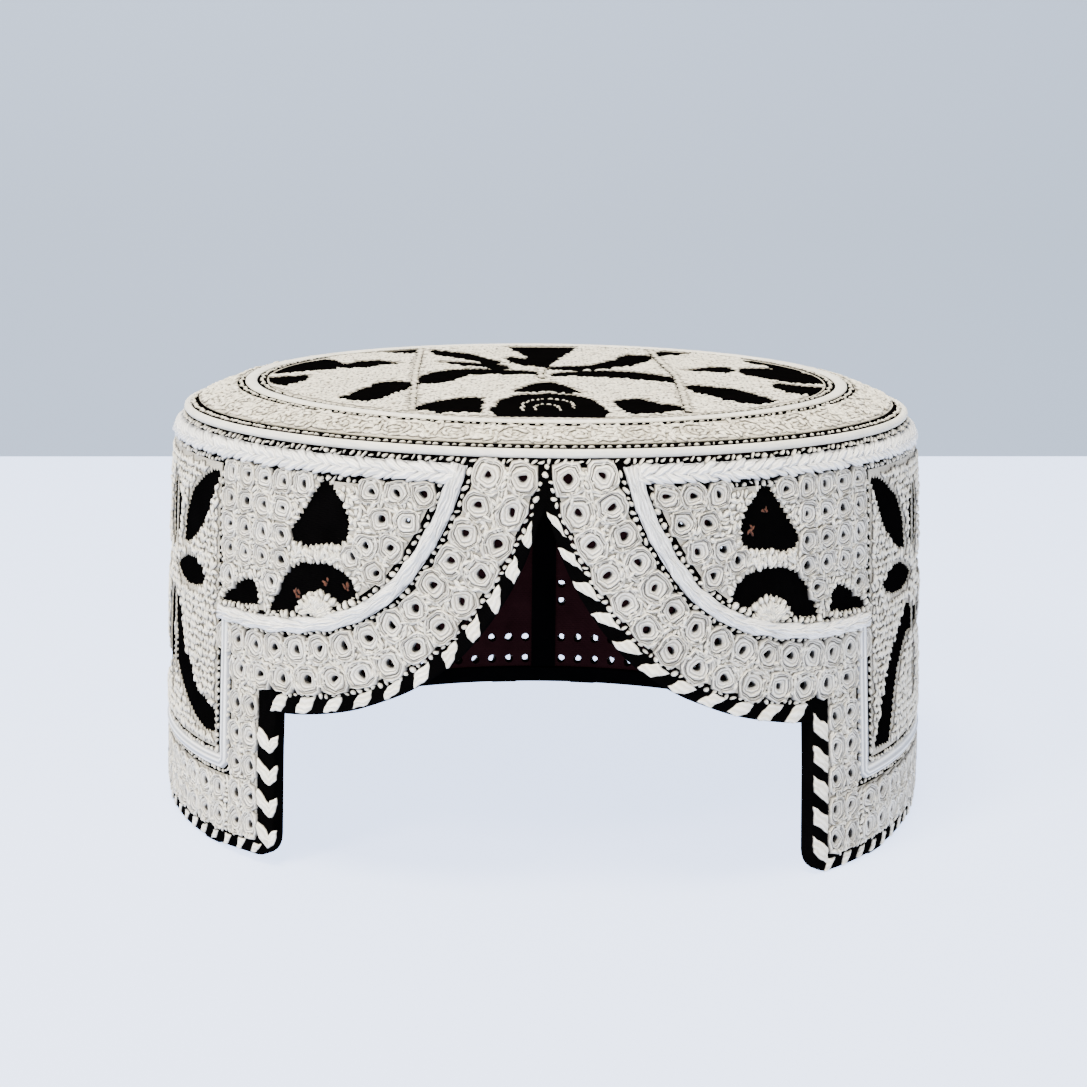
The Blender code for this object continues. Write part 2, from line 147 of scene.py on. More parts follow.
# %% Arch and panels
ARCH_ROWS = (
    # s, z, binding, border, band
    (0.9, 90.5, 1.9, 15.2, 5.6), (2.5, 85.0, 2.3, 15.0, 5.4), (5.4, 78.0, 3.0, 14.6, 5.0),
    (8.4, 72.2, 3.6, 14.3, 4.9), (12.0, 66.3, 3.9, 14.1, 4.9), (16.6, 60.0, 4.0, 14.0, 4.8),
    (21.9, 54.3, 4.0, 13.8, 4.6), (30.0, 48.4, 3.7, 13.7, 4.4), (37.0, 45.0, 3.6, 13.7, 4.1),
    (44.0, 42.5, 3.8, 13.8, 3.9), (52.0, 40.9, 4.3, 13.7, 3.8), (60.0, 39.9, 4.8, 13.6, 3.7),
    (68.4, 39.4, 4.9, 13.4, 3.5),
)
ARCH_TOP = 83.6
FLAP_EDGE = 63.4
FLAP_LINE = 68.4
CORNER_RADIUS = 5.5
HEM_BINDING = 4.4
HEM_COVERED = 3.1
CORD_INNER = 80.1
CORD_WIDTH = 3.7
CORD_LOW = 17.9
PANEL_LINE = 84.9
PANEL_TOP = 88.3
FLOWER_AXIS = 116.0
BACK_LINE = 2.0 * FLOWER_AXIS - PANEL_LINE
BACK_PANEL = HALF_GIRTH - (FLOWER_AXIS - PANEL_LINE)
DOT_STEP = 0.8
print(len(ARCH_ROWS), "rows along half of the arch")

# %% [markdown]
# Lines on the cloth are read along a smooth curve. A path then turns "this far along, this far to the
# left" into a draft point, so braids, beads and tapes all follow their line by the same rule.

# %% Lines and paths


def smooth_rows(rows, step):
    """The rows of a table read along a smooth curve through all of them (Catmull-Rom)."""
    ends = [rows[0], *rows, rows[-1]]
    out = []
    for a, b, c, d in zip(ends, ends[1:], ends[2:], ends[3:]):
        a, b, c, d = (np.array(row, float) for row in (a, b, c, d))
        parts = max(1, round(math.dist(b[:2], c[:2]) / step))
        for t in np.arange(parts) / parts:
            out.append(0.5 * (2 * b + (c - a) * t + (2 * a - 5 * b + 4 * c - d) * t * t
                              + (3 * b - 3 * c + d - a) * t ** 3))
    return np.array(out + [np.array(rows[-1], float)])


class Path:
    """A line of draft points, read by the distance along it and the distance to its left."""

    def __init__(self, points):
        self.points = np.array(points, float)[:, :2]
        steps = np.hypot(*np.diff(self.points, axis=0).T)
        self.far = np.concatenate([[0.0], np.cumsum(steps)])
        run = np.gradient(self.points, self.far, axis=0)
        self.run = run / np.hypot(*run.T)[:, None]
        self.length = self.far[-1]

    def at(self, along, left=0.0):
        s, z = (np.interp(along, self.far, self.points[:, k]) for k in (0, 1))
        run_s, run_z = (np.interp(along, self.far, self.run[:, k]) for k in (0, 1))
        return s - left * run_z, z + left * run_s

    def turn(self, along):
        return np.arctan2(*(np.interp(along, self.far, self.run[:, k]) for k in (1, 0)))

    def moved(self, left):
        return Path(np.column_stack(self.at(self.far, left)))

    def dots(self, step=DOT_STEP):
        """Points at a step along the path."""
        return np.column_stack(self.at(np.arange(0.0, self.length, step)))


def loop_path(loop):
    """The path once round a closed loop of points."""
    return Path(np.concatenate([loop, loop[:1]]))


arch = smooth_rows(ARCH_ROWS, 1.5)
binding_beads = Path(arch)
NORMALS = np.column_stack([-binding_beads.run[:, 1], binding_beads.run[:, 0]])
arch_edge = arch[:, :2] - NORMALS * arch[:, 2:3]
band_foot = arch[:, :2] + NORMALS * arch[:, 3:4]
band_top = arch[:, :2] + NORMALS * (arch[:, 3:4] + arch[:, 4:5])
print(f"the arch's binding is {binding_beads.length:.0f} mm long on each side")

# %% [markdown]
# Cloth, lining and tape are all cut by one sheet maker. It needs a few helpers first: which points lie
# inside an outline or clear of others, circles for the holes, and points spaced along a straight edge.

# %% Points and outlines
SHEET_STEP = 4.0
HOLE_SIDES = 8
HOLE_ROOM = 2.0
HOLE_REACH = 0.85
EDGE_ROOM = 0.4
MERGE = 2e-6


def inside(points, loop):
    """Which points lie inside a closed loop (even-odd rule)."""
    points, loop = np.asarray(points, float), np.asarray(loop, float)
    found = np.zeros(len(points), bool)
    for (ax, ay), (bx, by) in zip(loop, np.roll(loop, -1, axis=0)):
        if ay == by:
            continue
        crosses = (ay > points[:, 1]) != (by > points[:, 1])
        found ^= crosses & (points[:, 0] < ax + (points[:, 1] - ay) / (by - ay) * (bx - ax))
    return found


def circle(centre, radius, sides):
    turns = math.tau * np.arange(sides) / sides
    return np.column_stack([centre[0] + radius * np.cos(turns), centre[1] + radius * np.sin(turns)])


def spaced(a, b, step=SHEET_STEP):
    """Points from a up to, and without, b."""
    a, b = np.array(a, float), np.array(b, float)
    parts = max(1, round(math.dist(a, b) / step))
    return a + (b - a) * (np.arange(parts) / parts)[:, None]


def clear_of(points, others, distance):
    """Which points are further than a distance from all the others."""
    keep = np.ones(len(points), bool)
    for other in others:
        keep &= np.hypot(points[:, 0] - other[0], points[:, 1] - other[1]) > distance
    return keep


# %% [markdown]
# A flat sheet is filled with triangles between its outline, its holes and its bare patches, over a coarse
# grid of points, so that it has somewhere to bend. It is given its thickness by extruding while it is
# still flat, and bent onto the cap last.

# %% Sheets


def cut_sheet(outline, holes=(), radius=1.0, patches=(), step=SHEET_STEP):
    """A flat bmesh inside an outline, without its round holes and its bare patches."""
    loops = [np.asarray(outline, float)]
    loops += [circle(centre, radius, HOLE_SIDES) for centre in holes]
    loops += [np.asarray(patch, float) for patch in patches]
    border = np.concatenate(loops)
    low, high = loops[0].min(0), loops[0].max(0)
    grid = np.stack(np.meshgrid(np.arange(low[0] + step, high[0], step),
                                np.arange(low[1] + step, high[1], step)), -1).reshape(-1, 2)
    grid = grid[inside(grid, loops[0])]
    grid = grid[clear_of(grid, holes, HOLE_ROOM * radius)] if len(holes) else grid
    near_edge = np.concatenate([loops[0]] + loops[1 + len(holes):])
    grid = grid[clear_of(grid, near_edge, EDGE_ROOM * step)]
    edges, start = [], 0
    for loop in loops:
        edges += [(start + k, start + (k + 1) % len(loop)) for k in range(len(loop))]
        start += len(loop)
    corners, _, faces = delaunay_2d_cdt([Vector(p) for p in np.concatenate([border, grid])],
                                        edges, [], 0, 1e-5)[:3]
    flat = np.array([(p.x, p.y) for p in corners])
    middles = np.array([flat[list(face)].mean(0) for face in faces])
    keep = inside(middles, loops[0])
    for patch in loops[1 + len(holes):]:
        keep &= ~inside(middles, patch)
    if len(holes):
        keep &= clear_of(middles, holes, HOLE_REACH * radius)
    sheet = bmesh.new()
    verts = [sheet.verts.new((x, y, 0.0)) for x, y in flat]
    for face, wanted in zip(faces, keep):
        if wanted:
            sheet.faces.new([verts[k] for k in face])
    bmesh.ops.delete(sheet, geom=[v for v in sheet.verts if not v.link_faces], context="VERTS")
    bmesh.ops.recalc_face_normals(sheet, faces=sheet.faces[:])
    return sheet


def bend_onto(sheet, surface):
    """Move every vertex of a flat bmesh onto the cap, and close what then meets at the back."""
    flat = np.array([v.co for v in sheet.verts])
    for v, place in zip(sheet.verts, surface(*flat.T)):
        v.co = place
    bmesh.ops.remove_doubles(sheet, verts=sheet.verts[:], dist=MERGE)
    return sheet


def joined(first, second):
    """Put a second bmesh into the first."""
    mesh = bpy.data.meshes.new("second")
    second.to_mesh(mesh)
    second.free()
    first.from_mesh(mesh)
    bpy.data.meshes.remove(mesh)
    return first


def face_up(shape):
    """Make the faces of an open bmesh face outwards, off the cloth."""
    bmesh.ops.recalc_face_normals(shape, faces=shape.faces[:])
    if sum(face.normal.z for face in shape.faces) < 0.0:
        bmesh.ops.reverse_faces(shape, faces=shape.faces[:])
    return shape


def thicken(sheet, low, high):
    """Extrude a flat sheet from low to high, and open its ends where they meet at the back."""
    for v in sheet.verts:
        v.co.z = low
    if sheet.faces[0].normal.z > 0.0:
        bmesh.ops.reverse_faces(sheet, faces=sheet.faces[:])
    raised = bmesh.ops.extrude_face_region(sheet, geom=sheet.faces[:])["geom"]
    for v in (g for g in raised if isinstance(g, bmesh.types.BMVert)):
        v.co.z = high
    seam = HALF_GIRTH - 0.001
    ends = [f for f in sheet.faces if all(abs(v.co.x) > seam for v in f.verts)]
    bmesh.ops.delete(sheet, geom=ends, context="FACES_ONLY")
    bmesh.ops.recalc_face_normals(sheet, faces=sheet.faces[:])
    return sheet


def mirrored(line):
    """The same line on the left, run the other way."""
    return np.asarray(line, float)[::-1] * (-1.0, 1.0)


def both_sides(line):
    """A line on the right joined, across the middle of the front, to its mirror on the left."""
    return np.concatenate([mirrored(line)[:-1], np.asarray(line, float)])


# %% [markdown]
# Stitches, beads and eyelets come in hundreds. Each kind is modelled once, as a unit about 2 units
# wide at the origin, and stamped from a table: place, turn and size, a row for each. The arrays are
# joined straight into one mesh, which is far quicker than an object for each stitch.

# %% Units and stamping
KEPT = {}
SHARP = math.radians(40.0)


def groove_shade_by_height(points):
    """How far each vertex stands out of the groove round its stitch, 0 to 1: at 0 it gets the full painted
    shade of the groove.
    """
    return np.clip(1.3 * points[:, 2] + 0.04, 0.0, 1.0)


def unit_from(shape, uv_from, groove_shade_from=groove_shade_by_height):
    """Keep a small bmesh as plain arrays, with a UV for each corner worked out from its place, and a
    painted groove shade for each vertex.
    """
    points = np.array([v.co for v in shape.verts])
    shape.verts.index_update()
    corners = [[v.index for v in face.verts] for face in shape.faces]
    loops = np.array([k for face in corners for k in face])
    sizes = np.array([len(face) for face in corners])
    shape.free()
    return {"points": points, "loops": loops, "sizes": sizes, "uv": uv_from(points)[loops],
            "groove_shade": groove_shade_from(points)}


def table(*columns):
    """Columns side by side, some of them single numbers, as the rows of one table."""
    parts = [np.asarray(column, float) for column in columns]
    parts = [part if part.ndim == 2 else part.reshape(-1, 1) for part in parts]
    count = 0 if any(part.size == 0 for part in parts) else max(len(part) for part in parts)
    return np.concatenate([np.broadcast_to(part, (count, part.shape[1])) for part in parts], axis=1)


def other_side(rows):
    """The same stitches on the left of the cap."""
    left = rows.copy()
    left[:, 0] = -left[:, 0]
    left[:, 3] = math.pi - left[:, 3]
    return left


def by_hand(a, b):
    """Shift draft points by up to 0.35 mm in slow waves: hand work is never quite straight or round."""
    shift_a = 0.2 * np.sin(1.31 * a + 0.9 * b) + 0.15 * np.sin(2.3 * b - 1.1 * a + 2.0)
    shift_b = 0.2 * np.sin(1.43 * b - 0.8 * a + 1.0) + 0.15 * np.sin(2.1 * a + 1.2 * b)
    return a + shift_a, b + shift_b


def stamp(unit, rows, surface=wall):
    """Stamp a unit at each row: a, b, out, turn, half length, half width, height."""
    rows = np.asarray(rows, float)
    x, y, up = (unit["points"][None, :, k] * rows[:, 4 + k, None] for k in range(3))
    cos, sin = np.cos(rows[:, 3, None]), np.sin(rows[:, 3, None])
    a, b = by_hand(rows[:, 0, None] + cos * x - sin * y, rows[:, 1, None] + sin * x + cos * y)
    places = surface(a, b, rows[:, 2, None] + up)
    count, size = len(rows), len(unit["points"])
    shade = np.repeat(chance.random(count), size)
    loops = (unit["loops"][None] + size * np.arange(count)[:, None]).ravel()
    return {"points": places.reshape(-1, 3), "loops": loops, "sizes": np.tile(unit["sizes"], count),
            "uv": np.tile(unit["uv"], (count, 1)), "shade": shade, "groove_shade": np.tile(unit["groove_shade"], count)}


def stamp_both(unit, rows):
    """Stamp rows on the right of the wall and their mirror on the left."""
    return [stamp(unit, rows), stamp(unit, other_side(rows))]


# %% [markdown]
# Stamped arrays and bent sheets become pieces by the same steps: a material, smooth shading, the body
# that the piece rides on, and the solids that it stands for. Each piece prints its triangles, because a
# stitch that is repeated a thousand times soon adds up.

# %% Pieces


def finish_piece(name, mesh, material, replaces=()):
    """Shade a mesh, link it, and say what it rides on and stands for."""
    mesh.materials.append(material)
    mesh.shade_smooth()
    piece = bpy.data.objects.new(name, mesh)
    bpy.context.scene.collection.objects.link(piece)
    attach(piece, "root")
    if replaces:
        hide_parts(*replaces)
    mesh.calc_loop_triangles()
    KEPT[name] = len(mesh.loop_triangles)
    print(f"{name}: {KEPT[name]} triangles")


def stamped_piece(name, stamps, material, replaces=()):
    """Join stamped arrays into one mesh."""
    shift = np.cumsum([0] + [len(part["points"]) for part in stamps])
    loops = np.concatenate([part["loops"] + start for part, start in zip(stamps, shift)])
    sizes = np.concatenate([part["sizes"] for part in stamps])
    points = np.concatenate([part["points"] for part in stamps])
    mesh = bpy.data.meshes.new(name)
    mesh.vertices.add(len(points))
    mesh.vertices.foreach_set("co", points.ravel())
    mesh.loops.add(len(loops))
    mesh.loops.foreach_set("vertex_index", loops.astype(np.int32))
    mesh.polygons.add(len(sizes))
    mesh.polygons.foreach_set("loop_start", (np.cumsum(sizes) - sizes).astype(np.int32))
    mesh.update(calc_edges=True)
    uv = mesh.uv_layers.new(name="UVMap")
    uv.data.foreach_set("uv", np.concatenate([part["uv"] for part in stamps]).ravel())
    # The random shade of each stitch, and the painted shade of the grooves between stitches.
    for key in ("shade", "groove_shade"):
        values = mesh.attributes.new(key, "FLOAT", "POINT")
        values.data.foreach_set("value", np.concatenate([part[key] for part in stamps]))
    mesh.validate()
    finish_piece(name, mesh, material, replaces)


def stitched_piece(name, stamps):
    """A piece of cream stitches, beads or bars."""
    stamped_piece(name, stamps, cream_thread)


def sheet_piece(name, sheet, material, replaces=()):
    """Turn a bent bmesh into a piece."""
    mesh = bpy.data.meshes.new(name)
    sheet.to_mesh(mesh)
    sheet.free()
    finish_piece(name, mesh, material, replaces)
    mesh.set_sharp_from_angle(angle=SHARP)


# %% [markdown]
# A stitch is half a thread: a low rounded lobe, fatter in the middle. A bead is a rounder one. Both are
# the upper part of a UV sphere, because what faces the cloth is never seen. The strands of the floss and
# the bars of the binding are larger, so their lobes have more sides.

# %% Stitch and bead units
LOBE_FOOT = -0.1


def lobe(around, rings):
    shape = bmesh.new()
    bmesh.ops.create_uvsphere(shape, u_segments=around, v_segments=rings, radius=1.0)
    under = [v for v in shape.verts if v.co.z < LOBE_FOOT]
    bmesh.ops.delete(shape, geom=under, context="VERTS")
    return shape


def plan_uv(points):
    return 0.5 + 0.5 * points[:, :2]


def triangles_in(unit):
    return int((unit["sizes"] - 2).sum())


STITCH, BEAD, STRAND, BAR = (unit_from(lobe(around, rings), plan_uv)
                             for around, rings in ((6, 4), (8, 6), (10, 8), (16, 8)))
print("triangles in a stitch:", triangles_in(STITCH), "and in a bead:", triangles_in(BEAD))

# %% [markdown]
# An eyelet is a pierced hole that is whipped round with thread and set in a rounded square of couched
# rings. One ring of vertices is extruded outwards again and again, each time to the next radius and
# height of a short table, so the ridges of the thread are real. The eyelets of the back are opened
# wider, because inside the cap they are seen from afar, as dots of daylight.

# %% Eyelet unit
EYELET_HALF = 3.4
EYELET_MOUTH = 1.2
OPENED = (1.4, 1.4, 1.0)
EYELET_RINGS = (
    # radius, height, how square, how light under the painted shade of the grooves (0 in the grooves)
    (0.72, -0.80, 2.0, 0.0), (0.80, -0.25, 2.0, 0.2), (1.00, 0.08, 2.0, 0.7), (1.40, 0.34, 2.0, 0.95),
    (1.66, 0.22, 2.0, 0.55), (1.95, 0.46, 2.1, 0.96), (2.25, 0.40, 2.3, 0.85), (2.45, 0.05, 2.6, 0.05),
    (2.63, 0.50, 2.9, 0.95), (2.78, 0.28, 3.1, 0.4), (3.00, 0.78, 3.4, 1.0), (3.20, 0.48, 3.9, 0.65),
    (3.34, -0.14, 4.4, 0.0),
)
EYELET_SIDES = 16
THREAD_WIDTH = 0.25


def squared(radius, square, turns):
    """Radius of a rounded square at each turn: a circle at 2, squarer above."""
    return radius / (np.abs(np.cos(turns)) ** square + np.abs(np.sin(turns)) ** square) ** (1.0 / square)


def build_eyelet():
    shape = bmesh.new()
    ring = bmesh.ops.create_circle(shape, segments=EYELET_SIDES, radius=1.0)["verts"]
    edges = shape.edges[:]
    for k, (radius, height, square, _) in enumerate(EYELET_RINGS):
        if k:
            grown = bmesh.ops.extrude_edge_only(shape, edges=edges)["geom"]
            ring = [g for g in grown if isinstance(g, bmesh.types.BMVert)]
            edges = [g for g in grown if isinstance(g, bmesh.types.BMEdge)
                     and all(v in ring for v in g.verts)]
        for v in ring:
            turn = math.atan2(v.co.y, v.co.x)
            reach = float(squared(radius, square, turn))
            v.co = (reach * math.cos(turn), reach * math.sin(turn), height)
    return face_up(shape)


def ring_uv(points):
    """u counts radius in thread widths, v runs round: a stripe on u makes rings."""
    return np.column_stack([np.hypot(points[:, 0], points[:, 1]) / THREAD_WIDTH,
                            np.abs(np.arctan2(points[:, 1], points[:, 0])) * 6.0])


def ring_groove_shade(points):
    """The painted shade of the ring that each vertex belongs to, as a lightness found by its height."""
    heights = np.array([row[1] for row in EYELET_RINGS])
    return np.array([EYELET_RINGS[k][3] for k in np.abs(points[:, 2, None] - heights).argmin(1)])


EYELET = unit_from(build_eyelet(), ring_uv, ring_groove_shade)
in_mouth = np.hypot(EYELET["points"][:, 0], EYELET["points"][:, 1])[:, None] < EYELET_MOUTH
OPEN_EYELET = dict(EYELET, points=EYELET["points"] * np.where(in_mouth, OPENED, 1.0))
print("triangles in an eyelet:", triangles_in(EYELET))

# %% [markdown]
# The cap has four finishes: cream cotton thread, whiter untwisted floss, black cotton and a maroon
# lining. The stamping wrote two attributes for them to read: a random shade for each stitch, and a
# painted shade that darkens the grooves between stitches. First come helpers that build the node trees.

# %% Shader helpers


def shader_of(name, colour, roughness, sheen=0.0):
    """A new material and its shader, with everything that is constant set on the sockets."""
    material = bpy.data.materials.new(name)
    material.use_nodes = True
    shader = material.node_tree.nodes["Principled BSDF"]
    shader.inputs["Base Color"].default_value = (*colour, 1.0)
    shader.inputs["Roughness"].default_value = roughness
    shader.inputs["Specular IOR Level"].default_value = 0.25
    shader.inputs["Sheen Weight"].default_value = sheen
    shader.inputs["Sheen Roughness"].default_value = 0.5
    return material, shader


def add_node(material, kind, **inputs):
    """A node with its sockets filled: numbers are set, sockets are linked."""
    node = material.node_tree.nodes.new(kind)
    for key, value in inputs.items():
        socket = node.inputs[key.replace("_", " ")]
        if isinstance(value, bpy.types.NodeSocket):
            material.node_tree.links.new(value, socket)
        else:
            socket.default_value = value
    return node


def mottled(material, shader, dark, light, by):
    """Colour between two tones, by a socket that runs from 0 to 1. A tone is a colour or a socket."""
    mix = material.node_tree.nodes.new("ShaderNodeMix")
    mix.data_type = "RGBA"
    for place, tone in ((6, dark), (7, light)):
        if isinstance(tone, bpy.types.NodeSocket):
            material.node_tree.links.new(tone, mix.inputs[place])
        else:
            mix.inputs[place].default_value = (*tone, 1.0)
    material.node_tree.links.new(by, mix.inputs[0])
    material.node_tree.links.new(mix.outputs[2], shader.inputs["Base Color"])
    return mix.outputs[2]


def bumped(material, shader, height, strength, distance):
    bump = add_node(material, "ShaderNodeBump", Height=height, Strength=strength, Distance=distance)
    material.node_tree.links.new(bump.outputs["Normal"], shader.inputs["Normal"])


def sum_of(material, a, b, share_a, share_b):
    """Two height signals added, each with its share."""
    first = add_node(material, "ShaderNodeMath")
    first.operation = "MULTIPLY"
    material.node_tree.links.new(a, first.inputs[0])
    first.inputs[1].default_value = share_a
    second = add_node(material, "ShaderNodeMath")
    second.operation = "MULTIPLY_ADD"
    material.node_tree.links.new(b, second.inputs[0])
    second.inputs[1].default_value = share_b
    material.node_tree.links.new(first.outputs[0], second.inputs[2])
    return second.outputs[0]


# %% [markdown]
# Thread is ridged along each stitch by a wave on the stitch's own UV, and the same wave paints shade
# between the ridges; the grooves between stitches get painted shade as well. Cloth is ribbed both ways
# by two crossing waves, and clouded a little by wear.

# %% Thread and cloth
GROOVE_SHADE_POWER = 1.8
FIBRE_SCALE = 1500.0
CLOUD_SCALE = 160.0


def thread(name, groove_shade_colour, dark, light, roughness, sheen, ridges, depth, stamped=True, along="Y"):
    """Stitched thread: ridges along the stitch with painted shade between them, a random shade for each
    stitch, and painted shade in the grooves between stitches, or between the ridges if not stamped.
    """
    material, shader = shader_of(name, light, roughness, sheen)
    place = add_node(material, "ShaderNodeTexCoord")
    stripes = add_node(material, "ShaderNodeTexWave", Vector=place.outputs["UV"], Scale=ridges,
                       Distortion=4.5, Detail=3.0, Detail_Scale=2.0)
    stripes.bands_direction = along
    fibres = add_node(material, "ShaderNodeTexNoise", Vector=place.outputs["Object"], Scale=FIBRE_SCALE,
                      Detail=3.0, Roughness=0.6)
    shade = add_node(material, "ShaderNodeAttribute")
    shade.attribute_name = "shade"
    groove_shade = add_node(material, "ShaderNodeAttribute")
    groove_shade.attribute_name = "groove_shade"
    deep = add_node(material, "ShaderNodeMath")
    deep.operation = "POWER"
    material.node_tree.links.new(groove_shade.outputs["Fac"], deep.inputs[0])
    deep.inputs[1].default_value = GROOVE_SHADE_POWER
    tone = sum_of(material, shade.outputs["Fac"], fibres.outputs["Fac"], 0.6, 0.4)
    # The stripes darken the colour between the ridges: painted shade, mixed with the random shade and
    # fibres.
    stripe_tone = sum_of(material, tone, stripes.outputs["Fac"], 0.6, 0.55)
    colour = mottled(material, shader, dark, light, stripe_tone)
    # Painted shade in the grooves: by how far each vertex stands out, or by the stripes if not stamped.
    mottled(material, shader, groove_shade_colour, colour, deep.outputs[0] if stamped else stripes.outputs["Fac"])
    bumped(material, shader, sum_of(material, stripes.outputs["Fac"], fibres.outputs["Fac"], 0.6, 0.8),
           0.8, depth)
    return material


def woven(name, dark, light, roughness, sheen, count, depth):
    """Plain cloth: two crossing sets of ribs on Object coordinates, with a cloudy wear."""
    material, shader = shader_of(name, light, roughness, sheen)
    place = add_node(material, "ShaderNodeTexCoord")
    across = add_node(material, "ShaderNodeTexWave", Vector=place.outputs["Object"], Scale=count,
                      Distortion=1.0, Detail=1.0)
    across.bands_direction = "DIAGONAL"
    up = add_node(material, "ShaderNodeTexWave", Vector=place.outputs["Object"], Scale=count,
                  Distortion=1.0, Detail=1.0)
    up.bands_direction = "Z"
    clouds = add_node(material, "ShaderNodeTexNoise", Vector=place.outputs["Object"], Scale=CLOUD_SCALE,
                      Detail=4.0, Roughness=0.65)
    mottled(material, shader, dark, light, clouds.outputs["Fac"])
    bumped(material, shader, sum_of(material, across.outputs["Fac"], up.outputs["Fac"], 0.5, 0.5),
           0.6, depth)
    return material


# %% [markdown]
# The cotton is warm, the floss cooler, and the black cloth nearly swallows the light, as it does in the
# photograph, so it and the lining have no highlights at all.

# %% Materials
# Painted shade: the near-black colour of the grooves between stitches.
CREAM_GROOVE_SHADE = (0.022, 0.019, 0.017)
INK = (0.0004, 0.0004, 0.0004)
# Threads: painted shade of the grooves, dark and light tone (the dark partly painted shade between
# ridges), roughness, sheen, ridges in a stitch, depth of the ridges
cream_thread = thread("cream_thread", CREAM_GROOVE_SHADE, (0.55, 0.485, 0.345), (1.0, 0.94, 0.79),
                      0.6, 0.1, 1.0, 0.0003)
eyelet_thread = thread("eyelet_thread", CREAM_GROOVE_SHADE, (0.55, 0.49, 0.37), (1.0, 0.945, 0.82),
                       0.6, 0.1, 0.13, 0.0004, along="X")
white_floss = thread("white_floss", (0.05, 0.05, 0.055), (0.46, 0.45, 0.43), (0.97, 0.94, 0.87),
                     0.38, 0.1, 1.0, 0.00025)
floss_tape = thread("floss_tape", (0.28, 0.28, 0.28), (0.62, 0.61, 0.59), (0.95, 0.93, 0.88),
                    0.45, 0.1, 1.0, 0.0003, stamped=False)
brown_thread = thread("brown_thread", (0.01, 0.006, 0.005), (0.03, 0.010, 0.005), (0.12, 0.035, 0.014),
                      0.8, 0.0, 2.0, 0.0001)
# Cloths: dark and light tone, roughness, sheen, ribs, depth of the ribs
# Far darker than the thread: cream thread with painted shade, as the gaps between stitches lie in shade.
cream_ground_in_shade = woven("cream_ground_in_shade", (0.24, 0.21, 0.155), (0.56, 0.51, 0.40), 0.85, 0.1, 900.0, 0.0002)
floss_ground = woven("floss_ground", (0.62, 0.62, 0.63), (0.90, 0.90, 0.90), 0.5, 0.1, 700.0, 0.0001)
piping_cloth = woven("piping_cloth", (0.50, 0.47, 0.39), (0.84, 0.80, 0.69), 0.6, 0.1, 260.0, 0.0003)
black_cloth = woven("black_cloth", INK, (0.0016, 0.0014, 0.0014), 0.95, 0.0, 700.0, 0.00012)
black_tape = woven("black_tape", INK, (0.0018, 0.0016, 0.0016), 0.85, 0.0, 900.0, 0.0001)
maroon_lining = woven("maroon_lining", (0.006, 0.0018, 0.0019), (0.022, 0.0062, 0.0062), 0.85, 0.0,
                      500.0, 0.0001)
for dull in (black_cloth, black_tape, maroon_lining):
    dull.node_tree.nodes["Principled BSDF"].inputs["Specular IOR Level"].default_value = 0.0
print(len(bpy.data.materials), "materials")

# %% [markdown]
# Bare patches are the cap's drawing: where no stitch is worked the black ground shows, in triangles,
# arches, lenses and leaves. Each is charted once, on the right, as a few points, and its outline is
# broken into small teeth, because stitch ends are never level.

# %% Charts of the bare patches
TRIANGLE = ((51, 88.3), (54, 84.5), (57, 80), (60.3, 75.8), (59, 73.6), (55, 73), (50, 74), (46, 74.3),
            (43.8, 75.8), (43.6, 79.5), (45.5, 83.5), (48.5, 87))
ARCHLET = ((41, 64.8), (43, 67.8), (46, 69.5), (50, 70.4), (56, 70), (60, 68), (63, 64.3), (65, 60.5),
           (66.3, 57.6), (62, 57.9), (58.3, 58.5), (56.8, 61), (54, 63.2), (51, 63.9), (48.5, 63.3),
           (46.2, 61.4), (43.5, 62.3))
SMALL_TRIANGLE = ((69, 58.2), (70, 62), (71.5, 64.4), (74, 64), (78, 62.2), (82, 59.4), (85, 56.9),
                  (80, 57.2), (74, 57.6))
UPPER_LEAF = ((86, 86), (90, 85.8), (94, 84.4), (98, 82), (101, 80.3), (103.5, 77.3), (106, 74), (107, 70),
              (107.8, 66.8), (105, 66.6), (102, 67.4), (98, 69.4), (94, 72.4), (91, 76), (89, 80),
              (87.3, 83))
LENS = ((91.5, 60.8), (94, 63.2), (98, 64.6), (104, 64.6), (110, 62.4), (113.5, 60.3), (109, 58.2),
        (104, 57.2), (98, 57.6), (94, 58.6))
RIGHT_LEG = ((86.5, 24), (88.5, 28), (90, 33), (93, 39), (96, 43.5), (99, 47), (103, 50.5), (108, 54),
             (112, 53.5), (115.6, 51), (115.6, 46), (110, 46.5), (106, 44), (102, 40), (99.5, 35),
             (97.5, 29), (95.5, 23.5))
LEFT_LEG = ((86.2, 31.3), (92, 33.3), (96.5, 34.2), (98, 37.5), (103, 41), (106, 45), (107.5, 50),
            (111, 53.5), (115.6, 55), (115.6, 47), (114, 44), (113.5, 37), (108, 33), (103, 30), (97, 27),
            (91, 25.3), (86.2, 25.8))
TOP_PETAL = ((115.6, 82), (112.5, 80.5), (110, 76), (110, 70), (112, 66.5), (115.6, 65))
LOW_PETAL = ((115.6, 44), (114, 42), (113.2, 36), (114.2, 31), (115.6, 29))


def moved(patch, ds=0.0, dz=0.0):
    return np.array(patch, float) + (ds, dz)


def flipped(patch, axis):
    return np.array(patch, float)[::-1] * (-1.0, 1.0) + (2.0 * axis, 0.0)


def runs_left(loop):
    """1 for a closed loop that runs anticlockwise, so that its inside is on the left, else -1."""
    after = np.roll(loop, -1, axis=0)
    return np.sign(np.sum(loop[:, 0] * after[:, 1] - after[:, 0] * loop[:, 1]))


